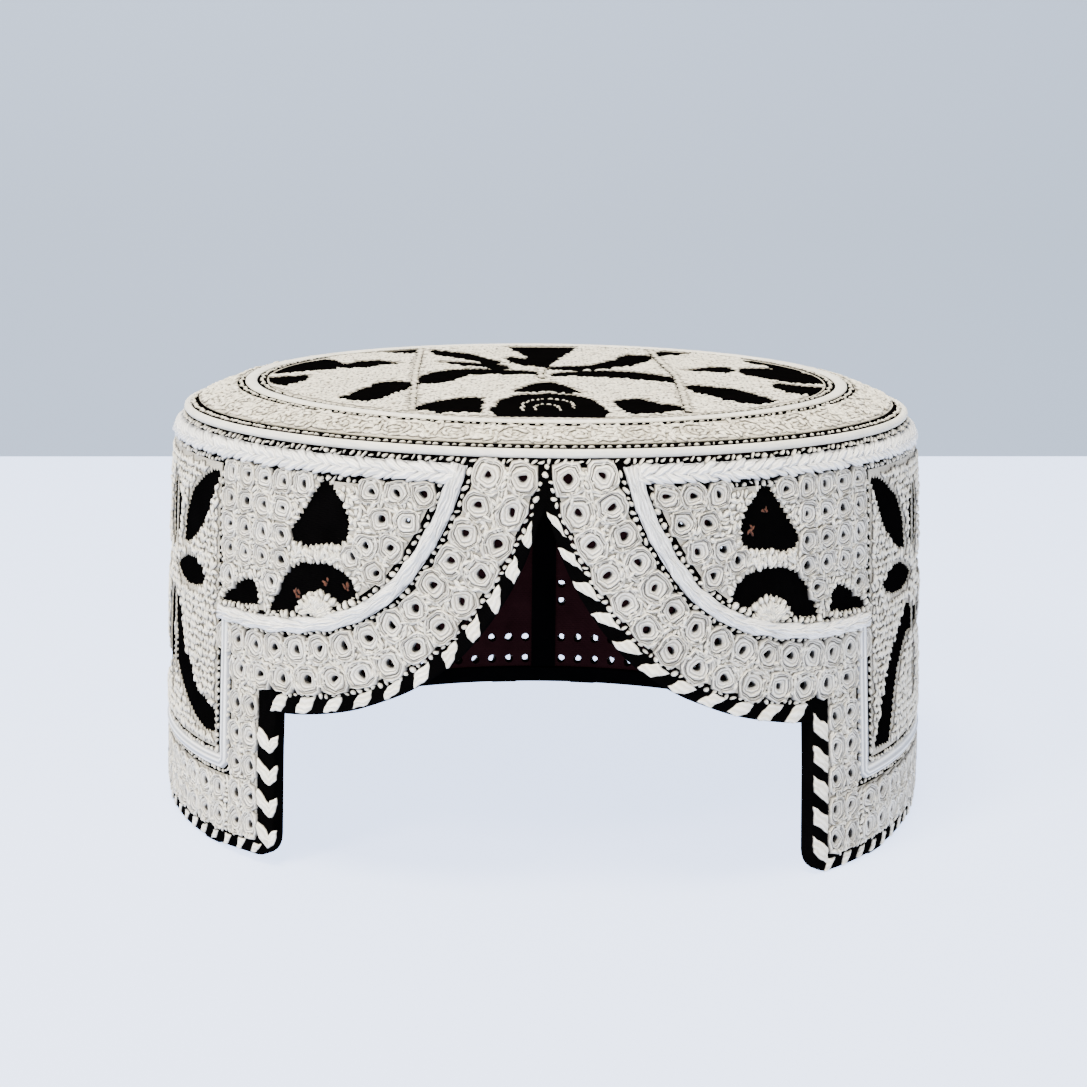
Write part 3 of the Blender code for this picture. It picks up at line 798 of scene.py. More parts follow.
def toothed(patch, pitch=1.5, depth=0.45, grow=0.0):
    """Resample a closed outline and push every other point in or out, as stitch ends do."""
    loop = loop_path(patch)
    count = 2 * max(4, round(loop.length / pitch))
    along = loop.length * np.arange(count) / count
    push = np.where(np.arange(count) % 2, depth, -depth) * (0.7 + 0.6 * chance.random(count))
    return np.column_stack(loop.at(along, (push - grow) * runs_left(patch)))


front_patches = [moved(TRIANGLE), moved(ARCHLET), moved(SMALL_TRIANGLE)]
flower_patches = [moved(UPPER_LEAF), moved(LENS), moved(TOP_PETAL), moved(LOW_PETAL)]
right_flower = flower_patches + [moved(RIGHT_LEG)]
left_flower = flower_patches + [moved(LEFT_LEG)]
BACK_SHIFT = 149.0
BACK_GROUP_DROP = -37.0
back_group = [moved(TRIANGLE, BACK_SHIFT), moved(ARCHLET, BACK_SHIFT),
              moved(TRIANGLE, BACK_SHIFT, BACK_GROUP_DROP), moved(ARCHLET, BACK_SHIFT, BACK_GROUP_DROP)]
back_flower = [moved(patch, HALF_GIRTH - FLOWER_AXIS) for patch in right_flower]


def side_patches(flower):
    """All bare patches of one half of the wall, drawn on the right."""
    whole = flower + [flipped(patch, FLOWER_AXIS) for patch in flower]
    return {"front": front_patches, "flower": whole, "group": back_group, "back": back_flower}


RIGHT = side_patches(right_flower)
LEFT = side_patches(left_flower)
print(sum(len(patches) for half in (RIGHT, LEFT) for patches in half.values()), "bare patches on the wall")

# %% [markdown]
# Eyelets: two rows follow the arch, two columns fill each flap, two rows run along the hem, and the
# panels above are filled in rows. Two single ones stand beside the seam at the back, on one side only,
# as the photograph shows by two dots of light.

# %% Places of the eyelets
BORDER_ROWS = (
    # share of the border's depth, pitch along the row, distance to the first, how many
    (0.25, 7.2, 1.2, 14), (0.74, 6.5, 2.6, 15),
)
FLAP_ROWS = (34.8, 27.8, 20.8, 13.6, 7.0)
FLAP_COLUMNS = (71.2, 76.6)
HEM_ROWS = (7.0, 13.5)
HEM_COLUMNS = 35
PANEL_ROWS = (
    # height, first s beside the band, eyelets there, eyelets beside the flap's cord
    (86.4, 26.4, 3, 5), (80.6, 29.9, 2, 4), (74.8, 33.6, 2, 4), (69.4, 37.2, 1, 4), (63.4, 0.0, 0, 1),
)
PANEL_PITCH = 6.1
PANEL_LAST = 80.8
SINGLE_EYELETS = ((43.0, 72.2), (65.6, 64.2))
BACK_FIELD_ROWS = np.arange(86.2, 24.0, -5.95)
BACK_FIELD_COLUMNS = 17
BACK_FIELD_INSET = 4.2
SEAM_COLUMN = HALF_GIRTH - 5.4
SEAM_EYELETS = (24.6, 30.0)
HEM_FIRST = 84.3
HEM_SPREAD = 0.15
# Half length and half width. A border eyelet is as long as its pitch, and one of the hem a little longer.
BORDER_HALF = 3.45
FLAP_HALVES = (2.75, 3.45)
HEM_HALVES = (0.52, 3.25)
PANEL_HALVES = (3.05, 2.9)
SINGLE_HALVES = (3.0, 2.8)
BACK_HALF = 3.0
SEAM_HALVES = (2.9, 2.9)
PATCH_ROOM = 2.4
EYELET_TURN = 0.24


def outside(points, patches, margin):
    """Which points stay a margin clear of all patches."""
    keep = np.ones(len(points), bool)
    for patch in patches:
        keep &= ~inside(points, patch) & clear_of(points, loop_path(patch).dots(), margin)
    return keep


def eyelet_rows():
    """s, z, turn, half length and half width of every eyelet on the right."""
    rows = []
    for share, pitch, first, count in BORDER_ROWS:
        line = arch[:, :2] * (1.0 - share) + band_foot * share
        path = Path(np.concatenate([line, [line[-1] + (2.0 * pitch, 0.0)]]))
        along = first + pitch * np.arange(count)
        rows.append(table(*path.at(along), path.turn(along), 0.5 * pitch, BORDER_HALF))
    for column in FLAP_COLUMNS:
        rows.append(table(column, FLAP_ROWS, 0.0, *FLAP_HALVES))
    t = np.arange(HEM_COLUMNS) / (HEM_COLUMNS - 1)
    hem = HEM_FIRST + (SEAM_COLUMN - HEM_FIRST) * ((1.0 + HEM_SPREAD) * t - HEM_SPREAD * t * t)
    for z in HEM_ROWS:
        rows.append(table(hem, z, 0.0, HEM_HALVES[0] * np.gradient(hem), HEM_HALVES[1]))
    for height, start, beside_band, beside_cord in PANEL_ROWS:
        rows.append(table(start + PANEL_PITCH * np.arange(beside_band), height, 0.0, *PANEL_HALVES))
        rows.append(table(PANEL_LAST - PANEL_PITCH * np.arange(beside_cord), height, 0.0, *PANEL_HALVES))
    rows.append(table(*np.array(SINGLE_EYELETS).T, 0.0, *SINGLE_HALVES))
    columns = np.linspace(BACK_LINE + BACK_FIELD_INSET, BACK_PANEL - BACK_FIELD_INSET, BACK_FIELD_COLUMNS)
    grid = np.stack(np.meshgrid(columns, BACK_FIELD_ROWS), -1).reshape(-1, 2)
    grid = grid[outside(grid, back_group, PATCH_ROOM)]
    rows.append(table(*grid.T, 0.0, 0.5 * (columns[1] - columns[0]), BACK_HALF))
    return np.concatenate([row for row in rows if len(row)])


right_eyelets = eyelet_rows()
right_eyelets[:, 2] += EYELET_TURN * (chance.random(len(right_eyelets)) - 0.5)
seam_eyelets = table(SEAM_COLUMN, SEAM_EYELETS, 0.0, *SEAM_HALVES)
eyelet_table = np.concatenate([right_eyelets, right_eyelets * (-1.0, 1.0, -1.0, 1.0, 1.0), seam_eyelets])
eyelet_centres = eyelet_table[:, :2]
print(len(eyelet_table), "eyelets")

# %% [markdown]
# The ground of the wall is black cotton, pierced through wherever an eyelet sits, so daylight shows as
# small dots inside the cap. It has the outline and the thickness of its solid.

# %% Ground cloth of the wall
CLOTH_HOLE = 1.3
WALL_TOP = WALL_PROFILE[-1][0]


def binding_line(clearance):
    """Where binding and cloth meet on the right, moved a clearance into the cloth."""
    line = np.column_stack(binding_beads.at(binding_beads.far, clearance))
    line = line[(line[:, 0] > 0.2) & (line[:, 0] < FLAP_LINE + clearance - 1.0)]
    corner = (FLAP_LINE + clearance, arch[-1, 1] + clearance)
    low = (FLAP_LINE + clearance, HEM_BINDING + clearance)
    end = (HALF_GIRTH, HEM_BINDING + clearance)
    return np.concatenate([[(0.0, line[0, 1] + 1.0)], line, spaced(corner, low),
                           spaced(low, end), [end]])


def wall_outline(top):
    """The cloth inside the binding, up to a height, with its seam at the back."""
    lower = both_sides(binding_line(GAP))
    seam = spaced((HALF_GIRTH, HEM_BINDING + GAP), (HALF_GIRTH, top))[1:]
    upper = spaced((HALF_GIRTH, top), (-HALF_GIRTH, top))
    return np.concatenate([lower, seam, upper, [(-HALF_GIRTH, top)], seam[::-1] * (-1.0, 1.0)])


ground = cut_sheet(wall_outline(WALL_TOP), eyelet_centres, CLOTH_HOLE)
ground = bend_onto(thicken(ground, -WALL_THICK, 0.0), wall)
sheet_piece("ground_cloth", ground, black_cloth, ["side_wall"])

# %% [markdown]
# The lining is a thinner maroon cloth behind it, pierced the same way and a little lower at the top. A
# black tape covers its seam at the middle of the back.

# %% Lining
LINING_DROP = 0.8
lining_face = -WALL_THICK - GAP
lining = cut_sheet(wall_outline(WALL_TOP - LINING_DROP), eyelet_centres, CLOTH_HOLE)
lining = bend_onto(thicken(lining, lining_face - LINING_THICK, lining_face), wall)
sheet_piece("lining_cloth", lining, maroon_lining, ["wall_lining"])

SEAM_TAPE_HALF = 3.6
SEAM_TAPE_ENDS = (4.8, 91.0)
SEAM_TAPE_FACE = lining_face - LINING_THICK - 0.05
SEAM_TAPE_BACK = SEAM_TAPE_FACE - 0.5


def seam_tape(half, low, high):
    """A strip over the lining's seam, as one closed bent sheet."""
    outline = np.concatenate([
        spaced((-half, low), (half, low), 2.0), spaced((half, low), (half, high)),
        spaced((half, high), (-half, high), 2.0), spaced((-half, high), (-half, low))])
    strip = thicken(cut_sheet(outline), SEAM_TAPE_BACK, SEAM_TAPE_FACE)
    return bend_onto(strip, lambda s, z, out: wall(s + HALF_GIRTH, z, out))


sheet_piece("seam_tape", seam_tape(SEAM_TAPE_HALF, *SEAM_TAPE_ENDS), black_tape)

# %% [markdown]
# Cream thread covers the ground in fields, each a thin raised sheet that stops short of the bead lines
# and is left out at the bare patches. It is what shows between the stitches that are stamped on it, and
# its cream is darkened with painted shade.

# %% Cream fields
FIELD_LOW = 0.03
FIELD_HIGH = 0.28
FIELD_HOLE = 1.25
BEAD_ROOM = 1.1
LINE_ROOM = 0.9
CORD_OUTER = CORD_INNER + CORD_WIDTH
CORD_HIGH = CORD_LOW + CORD_WIDTH
FIELD_TOP = PANEL_TOP - 0.7
FIELD_FOOT = CORD_HIGH + 1.0
BORDER_TOP = 92.5


def border_field():
    """The eyelet border on the right: down the arch and the flap and along the hem to the back."""
    inner = np.column_stack(binding_beads.at(binding_beads.far, BEAD_ROOM))
    inner = inner[inner[:, 0] < FLAP_LINE - 1.0]
    foot = Path(band_foot).moved(-BEAD_ROOM).points
    foot = foot[foot[:, 1] < 92.0]
    side = CORD_INNER - BEAD_ROOM
    low = CORD_LOW - BEAD_ROOM
    flap = (FLAP_LINE + 0.5, HEM_COVERED)
    back = (HALF_GIRTH, HEM_COVERED)
    return np.concatenate([
        [(inner[0, 0] - 0.3, BORDER_TOP)], inner, spaced((flap[0], inner[-1, 1]), flap), spaced(flap, back),
        spaced(back, (HALF_GIRTH, low)), spaced((HALF_GIRTH, low), (side, low)),
        spaced((side, low), (side, foot[-1, 1])), foot[::-1], [(foot[0, 0] - 0.4, BORDER_TOP)]])


def box_field(left, right, low, high):
    corners = [(left, low), (right, low), (right, high), (left, high)]
    return np.concatenate([spaced(a, b) for a, b in zip(corners, corners[1:] + corners[:1])])


def front_field():
    """The front panel between the arch band, the rim braid and the line of beads beside it."""
    top = Path(band_top).moved(BEAD_ROOM).points
    top = top[top[:, 1] < FIELD_TOP]
    side = PANEL_LINE - LINE_ROOM
    return np.concatenate([top[top[:, 0] < side], [(side, top[-1, 1]), (side, FIELD_TOP)],
                           spaced((side, FIELD_TOP), (top[0, 0], FIELD_TOP))[1:]])


FIELDS = {
    "border": border_field(),
    "front": front_field(),
    "flower": box_field(PANEL_LINE + LINE_ROOM, BACK_LINE - LINE_ROOM, FIELD_FOOT, FIELD_TOP),
    "group": box_field(BACK_LINE + LINE_ROOM, BACK_PANEL - LINE_ROOM, FIELD_FOOT, FIELD_TOP),
    "back": box_field(BACK_PANEL + LINE_ROOM, HALF_GIRTH, FIELD_FOOT, FIELD_TOP),
}


def field_sheet(name, side):
    """One cream field on the right (side 1) or the left (side -1)."""
    outline = FIELDS[name] * (side, 1.0)
    patches = (RIGHT if side > 0 else LEFT).get(name, [])
    bare = [toothed(patch) * (side, 1.0) for patch in patches]
    low, high = outline.min(0), outline.max(0)
    here = np.all((eyelet_centres > low) & (eyelet_centres < high), axis=1)
    holes = eyelet_centres[here & inside(eyelet_centres, outline)]
    return thicken(cut_sheet(outline, holes, FIELD_HOLE, bare), FIELD_LOW, FIELD_HIGH)


for name in FIELDS:
    both = joined(field_sheet(name, 1.0), field_sheet(name, -1.0))
    sheet_piece(f"cream_field_{name}", bend_onto(both, wall), cream_ground_in_shade)

# %% [markdown]
# Now the eyelets themselves, stamped from their table. Those of the front and of the back are separate
# pieces, to keep each mesh light and to open those of the back wider.

# %% Eyelets
EYELET_BASE = 0.2
EYELET_SPREAD = 0.14
EYELET_HEIGHTS = (0.95, 0.25)
sizes = eyelet_table[:, 3:5] / EYELET_HALF
sizes *= 1.0 + EYELET_SPREAD * (chance.random(sizes.shape) - 0.5)
heights = EYELET_HEIGHTS[0] + EYELET_HEIGHTS[1] * chance.random(len(sizes))
eyelet_stamps = table(eyelet_centres, EYELET_BASE, eyelet_table[:, 2], sizes, heights)
in_front = np.abs(eyelet_stamps[:, 0]) < FLOWER_AXIS
for name, unit, chosen in (("eyelets_front", EYELET, in_front), ("eyelets_back", OPEN_EYELET, ~in_front)):
    stamped_piece(name, [stamp(unit, eyelet_stamps[chosen])], eyelet_thread)

# %% [markdown]
# Beads edge every band: small white knots on the bare black line between fields. They are stamped along
# paths at a pitch of 1.7 mm, each a little different in place, turn and size.

# %% Bead lines on the wall
BEAD_PITCH = 1.7
BEAD_HALF = (0.66, 0.46)
BEAD_HEIGHT = 0.55
BEAD_BASE = 0.12
BEAD_TILT = 0.6
RIM_LINE = 93.7
BRAID_ENDS = (-20.0, 22.0)


def beads_along(path, pitch=BEAD_PITCH, half=BEAD_HALF, height=BEAD_HEIGHT, tilt=BEAD_TILT, left=0.0):
    """Rows of beads along a path, none quite like the next."""
    count = max(1, round(path.length / pitch))
    along = (np.arange(count) + 0.5) * path.length / count + 0.12 * pitch * (chance.random(count) - 0.5)
    s, z = path.at(along, left + 0.15 * (chance.random(count) - 0.5))
    turn = path.turn(along) + tilt + 0.7 * (chance.random(count) - 0.5)
    size = 0.8 + 0.4 * chance.random((count, 1))
    return table(s, z, BEAD_BASE, turn, half[0] * size, half[1] * size, height * size)


def upright(s, low, high):
    return Path(spaced((s, low), (s, high), 2.0))


def level(z, start, end):
    return Path(np.concatenate([spaced((start, z), (end, z), 2.0), [(end, z)]]))


foot_line = Path(band_foot[band_foot[:, 1] < 93.0])
top_line = Path(band_top[band_top[:, 1] < PANEL_TOP])
corner_z = band_foot[-1, 1]
bead_paths = [
    Path(arch[arch[:, 0] < 63.0]), foot_line, top_line,
    level(corner_z, foot_line.points[-1, 0], CORD_INNER), level(top_line.points[-1, 1], 68.0, PANEL_LINE),
    upright(CORD_INNER - 0.1, CORD_LOW, corner_z), upright(PANEL_LINE, CORD_HIGH, PANEL_TOP),
    level(CORD_LOW - 0.1, CORD_INNER, HALF_GIRTH), level(CORD_HIGH + 0.2, PANEL_LINE, HALF_GIRTH),
    upright(BACK_LINE, CORD_HIGH, PANEL_TOP), upright(BACK_PANEL, CORD_HIGH, PANEL_TOP),
]
right_beads = np.concatenate([beads_along(path) for path in bead_paths])
rim_beads = np.concatenate([
    beads_along(level(PANEL_TOP, -HALF_GIRTH, BRAID_ENDS[0]), tilt=0.9),
    beads_along(level(PANEL_TOP, BRAID_ENDS[1], HALF_GIRTH), tilt=-0.9),
    beads_along(level(RIM_LINE, -HALF_GIRTH, HALF_GIRTH), half=(0.75, 0.36), height=0.7)])
middle_beads = table((0.0, 0.0), (91.2, 92.7), BEAD_BASE, 0.0, 0.6, 0.6, 0.6)
stitched_piece("wall_beads", [*stamp_both(BEAD, right_beads), stamp(BEAD, rim_beads),
                              stamp(BEAD, middle_beads)])

# %% [markdown]
# Around the patches of the eyelet panels runs an outline of the same knots. The flower panels are
# filled with short zigzag stitches instead, whose ends make the ragged edge of the leaves. They stay
# clear of the two single eyelets at the back.

# %% Patch outlines and filling stitches
KNOTS = {"pitch": 1.75, "half": (0.85, 0.62), "height": 0.7, "tilt": 1.3}
KNOT_OFFSET = -0.4
EDGE_MARGIN = 0.8
GAP_REACH = 2.75


def outline_beads(patches):
    return np.concatenate([beads_along(loop_path(patch), left=KNOT_OFFSET * runs_left(patch), **KNOTS)
                           for patch in patches])


def zigzag(outline, patches, pitch=1.0, row=1.75, half=(1.35, 0.5), height=0.6, base=FIELD_HIGH - 0.1,
           lean=0.65, margin=0.7, wander=1.3, uneven=0.35):
    """Rows of short stitches leaning left and right in turn, kept inside a field.

    The margin is the distance to the patches, wander the random part of a stitch's turn, and uneven
    that of its height over the cloth. The field's edge doesn't count where two halves meet at the back.
    """
    low, high = outline.min(0), outline.max(0)
    columns = np.arange(low[0], high[0], pitch)
    levels = np.arange(low[1], high[1], row)
    grid = np.stack(np.meshgrid(columns, levels), -1)
    lean_of = np.where((np.arange(len(columns))[None] + np.arange(len(levels))[:, None]) % 2, lean, -lean)
    points = grid.reshape(-1, 2) + 0.5 * (chance.random((grid.size // 2, 2)) - 0.5)
    turns = lean_of.ravel() + 0.5 * math.pi + wander * (chance.random(len(points)) - 0.5)
    edge = loop_path(outline).dots()
    edge = edge[np.abs(edge[:, 0]) < HALF_GIRTH - 0.5]
    keep = inside(points, outline) & clear_of(points, edge, EDGE_MARGIN)
    keep &= outside(points, patches, margin) if patches else True
    points, turns = points[keep], turns[keep]
    size = 0.8 + 0.4 * chance.random((len(points), 1))
    lift = base + uneven * chance.random(len(points))
    return table(points, lift, turns, half[0] * size, half[1] * size, height * size)


stitched_piece("patch_beads", stamp_both(BEAD, outline_beads(RIGHT["front"] + RIGHT["group"])))
fills = []
for side, patches in ((1.0, RIGHT), (-1.0, LEFT)):
    rows = np.concatenate([zigzag(FIELDS[name], patches[name]) for name in ("flower", "back")])
    if side > 0:
        rows = rows[clear_of(rows[:, :2], seam_eyelets[:, :2], GAP_REACH)]
    fills.append(stamp(STITCH, rows if side > 0 else other_side(rows)))
stitched_piece("flower_stitches", fills)

# %% [markdown]
# The chinks between eyelets are closed with short stitches that lie every way. Over each front arch sits
# a bar of upright satin stitches, and under it a small sun of them. A few brown flecks lie in the black.

# %% Chinks, bars and suns
CHINKS = {"pitch": 1.05, "row": 1.15, "half": (1.15, 0.46), "height": 0.5, "wander": 5.0}
BAR_START = 44.8
BAR_END = 58.4
BAR_STEP = 1.1
BAR_LEVEL = 71.9
SUN_CENTRE = (51.6, 58.6)
SUN_FLAT = 0.9
SUN_RINGS = (
    # radius, first ray and step in degrees
    (3.7, 6.0, 9.0), (2.4, 10.0, 13.0), (1.1, 15.0, 25.0),
)
FLECKS = ((50.3, 82.5), (46.6, 78.4), (-57.7, 62.8), (-50.0, 66.2), (-44.5, 65.8))
FLECK_STITCHES = 6
gaps = np.concatenate([zigzag(FIELDS[name], RIGHT.get(name, []), **CHINKS)
                       for name in ("border", "front", "group")])
gaps = gaps[clear_of(gaps[:, :2], right_eyelets[:, :2], GAP_REACH)]


def motif_stitches(ds, dz):
    """The satin bar and the sun of one triangle and arch."""
    bar = table(np.arange(BAR_START, BAR_END, BAR_STEP) + ds, BAR_LEVEL + dz, 0.15, 0.5 * math.pi,
                1.35, 0.6, 0.6)
    rings = [np.arange(first, 180.0, step) for _, first, step in SUN_RINGS]
    reach = np.repeat([ring[0] for ring in SUN_RINGS], [len(rays) for rays in rings])
    rays = np.radians(np.concatenate(rings))
    turns = rays + 1.1 * (chance.random(len(rays)) - 0.5)
    sun = table(SUN_CENTRE[0] + ds + reach * np.cos(rays),
                SUN_CENTRE[1] + dz + SUN_FLAT * reach * np.sin(rays),
                0.1 + 0.35 * chance.random(len(rays)), turns, 1.35, 0.42, 0.7)
    return np.concatenate([bar, sun])


def fleck(s, z):
    """A few short brown stitches, thrown down at one place."""
    count = FLECK_STITCHES
    return table(s + 1.1 * (chance.random(count) - 0.5), z + 1.8 * (chance.random(count) - 0.5), 0.0,
                 0.9 + 1.6 * chance.random(count), 0.6, 0.25, 0.3)


motifs = np.concatenate([motif_stitches(ds, dz) for ds, dz in (
    (0.0, 0.0), (BACK_SHIFT, 0.0), (BACK_SHIFT, BACK_GROUP_DROP))])
stitched_piece("filling_stitches", [*stamp_both(STITCH, gaps), *stamp_both(STRAND, motifs)])
flecks = np.concatenate([fleck(s, z) for s, z in FLECKS])
stamped_piece("brown_flecks", [stamp(STITCH, flecks)], brown_thread)

# %% [markdown]
# The white braids are loose floss laid in long overlapping lobes, herringbone fashion. Each is stamped
# in the frame of its own path, so the lobes curve with the arch, over a plain strip that closes it. At
# the top of the arch the two bands fan out.

# %% Floss bands
BAND_BASE = 0.30
STRIP_LIP = 0.1
BAND_TOP = 92.9
BAND_FAN = 0.55
FAN_LENGTH = 7.0
BAND_MIDDLE = 1.85
# Pitch, half length and width, height, lean and distance from the middle of each row of lobes
OUTER_LOBES = (2.3, (5.4, 0.6), 1.0, 0.12, 0.85)
INNER_LOBES = (3.1, (6.5, 0.5), 1.25, 0.06, 0.3)
BRAID_LOBES = (2.6, (3.3, 0.8), 1.1, 0.38, 0.75)
# Half width, height and steps of the strip under the lobes
BAND_STRIP = (1.7, 0.7, 70)
BRAID_STRIP = (1.8, 0.55, 110)


def on_path(path):
    """The wall, read along a path: a is the distance along it and b the distance to its left."""
    return lambda a, b, out: wall(*path.at(a, b), out)


def strip_sheet(length, half_width, crown_height, steps, ribs=0.0):
    """A flat grid of a strip's length and width, its cross-section slightly crowned."""
    sheet = bmesh.new()
    sheet.loops.layers.uv.new("UVMap")
    bmesh.ops.create_grid(sheet, x_segments=steps, y_segments=8, size=1.0, calc_uvs=True)
    for v in sheet.verts:
        across = v.co.y
        crowned = crown_height * (1.0 - abs(across) ** 3.0) + ribs * math.cos(across * math.tau)
        v.co = (0.5 * (v.co.x + 1.0) * length, across * half_width,
                crowned - STRIP_LIP * (abs(across) > 0.99))
    return face_up(sheet)


def herringbone(length, pitch, half, height, lean, apart, base=BAND_BASE):
    """Two rows of lobes that meet in the middle of a strip."""
    along = np.arange(0.5 * pitch, length, pitch)
    rows = []
    for side in (-1.0, 1.0):
        jitter = 0.25 * pitch * (chance.random(len(along)) - 0.5)
        turn = side * lean + 0.08 * (chance.random(len(along)) - 0.5)
        lift = base + 0.3 * chance.random(len(along))
        tall = height * (0.9 + 0.2 * chance.random(len(along)))
        rows.append(table(along + jitter, side * apart, lift, turn, half[0], half[1], tall))
    return np.concatenate(rows)


band_line = 0.5 * (band_foot + band_top)
band_line = band_line[(band_line[:, 1] < BAND_TOP) & (band_line[:, 0] < 66.0)]
first_step = band_line[0] - band_line[1]
band_start = band_line[0] + first_step * (BAND_TOP - band_line[0, 1]) / first_step[1]
band_level = corner_z + BAND_MIDDLE
band_middle = Path(np.concatenate([[band_start], band_line,
                                   [(74.0, band_level), (PANEL_LINE - 0.6, band_level)]]))
for side, name in ((1.0, "right"), (-1.0, "left")):
    path = band_middle if side > 0 else Path(band_middle.points * (-1.0, 1.0))
    rows = np.concatenate([herringbone(path.length, *lobes) for lobes in (OUTER_LOBES, INNER_LOBES)])
    fan = BAND_FAN * np.exp(-rows[:, 0] / FAN_LENGTH)
    rows[:, 3] -= np.sign(rows[:, 1]) * 0.25 * fan
    rows[:, 1] *= 1.0 + fan
    stamped_piece(f"floss_band_{name}", [stamp(STRAND, rows, on_path(path))], white_floss,
                  [f"arch_band_{name}"])
    strip = bend_onto(strip_sheet(path.length, *BAND_STRIP), on_path(path))
    sheet_piece(f"band_base_{name}", strip, floss_ground)

# %% [markdown]
# Under the rim lies the plaited braid, open at the front between the arch bands. The flat cord beside
# the flaps and above the hem is a plain tape with fine lengthwise ribs.

# %% Rim braid and flat cord
BRAID_START = 19.0
BRAID_MIDDLE = 91.1
BRAID_BASE = 0.3
CORD_BEND = 1.2
CORD_STRIP = (1.85, 1.05, 180, 0.08)
braid_stamps = []
pitch, half, height, lean, apart = BRAID_LOBES
for side in (1.0, -1.0):
    far_end = (side * HALF_GIRTH, BRAID_MIDDLE)
    path = Path(np.concatenate([spaced((side * BRAID_START, BRAID_MIDDLE), far_end, 3.0), [far_end]]))
    rows = herringbone(path.length, pitch, half, height, side * lean, side * apart, BRAID_BASE)
    braid_stamps.append(stamp(STRAND, rows, on_path(path)))
    strip = bend_onto(strip_sheet(path.length, *BRAID_STRIP), on_path(path))
    sheet_piece(f"braid_base_{'right' if side > 0 else 'left'}", strip, floss_ground)
stamped_piece("rim_braid_floss", braid_stamps, white_floss, ["rim_braid"])

cord_middle = 0.5 * (CORD_INNER + CORD_OUTER)
cord_level = 0.5 * (CORD_LOW + CORD_HIGH)
corner_arc = [(cord_middle + CORD_BEND * (1 - math.cos(t)), cord_level + CORD_BEND * (1 - math.sin(t)))
              for t in np.radians((0, 30, 60, 90))]
cord_line = np.concatenate([spaced((cord_middle, corner_z + 1.6), corner_arc[0], 2.0), corner_arc,
                            spaced((cord_middle + 3.0, cord_level), (HALF_GIRTH, cord_level), 3.0),
                            [(HALF_GIRTH, cord_level)]])
cord_paths = [Path(cord_line * (side, 1.0)) for side in (1.0, -1.0)]
both = joined(*(bend_onto(strip_sheet(path.length, *CORD_STRIP), on_path(path)) for path in cord_paths))
bmesh.ops.remove_doubles(both, verts=both.verts[:], dist=MERGE)
bmesh.ops.recalc_face_normals(both, faces=both.faces[:])
sheet_piece("flat_cord", both, floss_tape, ["panel_cord"])

# %% [markdown]
# The edge is bound with black tape, folded over cloth and lining. Its free edge is beveled while the
# strip is still flat. White satin stitches are worked on it: leaves along the arch, chevrons down the
# flaps and slanted teeth along the hem.

# %% Bindings
BINDING_PROUD = 0.3
BINDING_ROUND = 0.7
BINDING_STEP = 3.0
HEM_START = FLAP_EDGE + CORNER_RADIUS + 3.0


def edge_line():
    """The cap's free edge on the right, from the top of the arch to the middle of the back."""
    line = arch_edge[(arch_edge[:, 0] > 0.8) & (arch_edge[:, 0] < FLAP_EDGE - 1.0)]
    turn = [(FLAP_EDGE + CORNER_RADIUS * (1 - math.cos(t)), CORNER_RADIUS * (1 - math.sin(t)))
            for t in np.radians((15, 30, 45, 60, 75, 90))]
    return np.concatenate([[(0.0, ARCH_TOP)], line,
                           spaced((FLAP_EDGE, arch_edge[-1, 1]), (FLAP_EDGE, CORNER_RADIUS), BINDING_STEP),
                           [(FLAP_EDGE, CORNER_RADIUS)], turn,
                           spaced((turn[-1][0] + 3.0, 0.0), (HALF_GIRTH, 0.0)), [(HALF_GIRTH, 0.0)]])


def bound_edge(outline, free_edge):
    """A binding cut flat, thickened and beveled along its free edge, then bent."""
    strip = thicken(cut_sheet(outline, step=BINDING_STEP), SEAM_TAPE_BACK, BINDING_PROUD)
    free = {(round(p[0], 3), round(p[1], 3)) for p in free_edge}
    rim = [e for e in strip.edges if abs(e.verts[0].co.z - e.verts[1].co.z) < 1e-6
           and all((round(v.co.x, 3), round(v.co.y, 3)) in free for v in e.verts)
           and len(e.link_faces) == 2 and e.calc_face_angle(0.0) > 1.0]
    bmesh.ops.bevel(strip, geom=rim, offset=BINDING_ROUND, offset_type="OFFSET", segments=3, profile=0.5,
                    affect="EDGES", material=-1)
    return bend_onto(strip, wall)


inner, outer = binding_line(0.0), edge_line()
front_inner, front_outer = (np.concatenate([line[line[:, 0] < HEM_START], [(HEM_START, line[-1, 1])]])
                            for line in (inner, outer))
front_binding = np.concatenate([both_sides(front_inner), both_sides(front_outer)[::-1]])
arch_tape = bound_edge(front_binding, both_sides(front_outer))
sheet_piece("arch_binding_tape", arch_tape, black_tape, ["edge_binding"])
hem_inner, hem_outer = (np.concatenate([[(HEM_START, line[-1, 1])], line[line[:, 0] > HEM_START + 1.0]])
                        for line in (inner, outer))
hem_outline = np.concatenate([hem_inner, hem_outer[::-1]])
hem = joined(*(bound_edge(hem_outline * (side, 1.0), hem_outer * (side, 1.0)) for side in (1.0, -1.0)))
bmesh.ops.remove_doubles(hem, verts=hem.verts[:], dist=MERGE)
sheet_piece("hem_binding_tape", hem, black_tape, ["hem_binding"])

# %% [markdown]
# The white bars on the tape are satin stitches that lean along it. Each is a lobe squared in plan and
# sheared, and near the top of the arch it is broader and drawn in towards the edge, like a leaf. The two
# sides of the photograph differ in lean and in the chevrons of the flap, and so do these.

# %% Stitches on the binding
STITCH_BASE = BINDING_PROUD - 0.03
BAR_PITCH = 7.4
BAR_HALF = 2.0
BAR_HEIGHT = 0.45
LEAF_PART = 42.0
LEAF_BROAD = 1.2
LEAF_TAPER = 0.45
ARCH_BARS = (
    # side, lean of the bars, lean of the leaves, distance to the first
    (1.0, 0.8, 0.75, 9.0), (-1.0, -0.6, -0.45, 12.0),
)
TEETH = 39


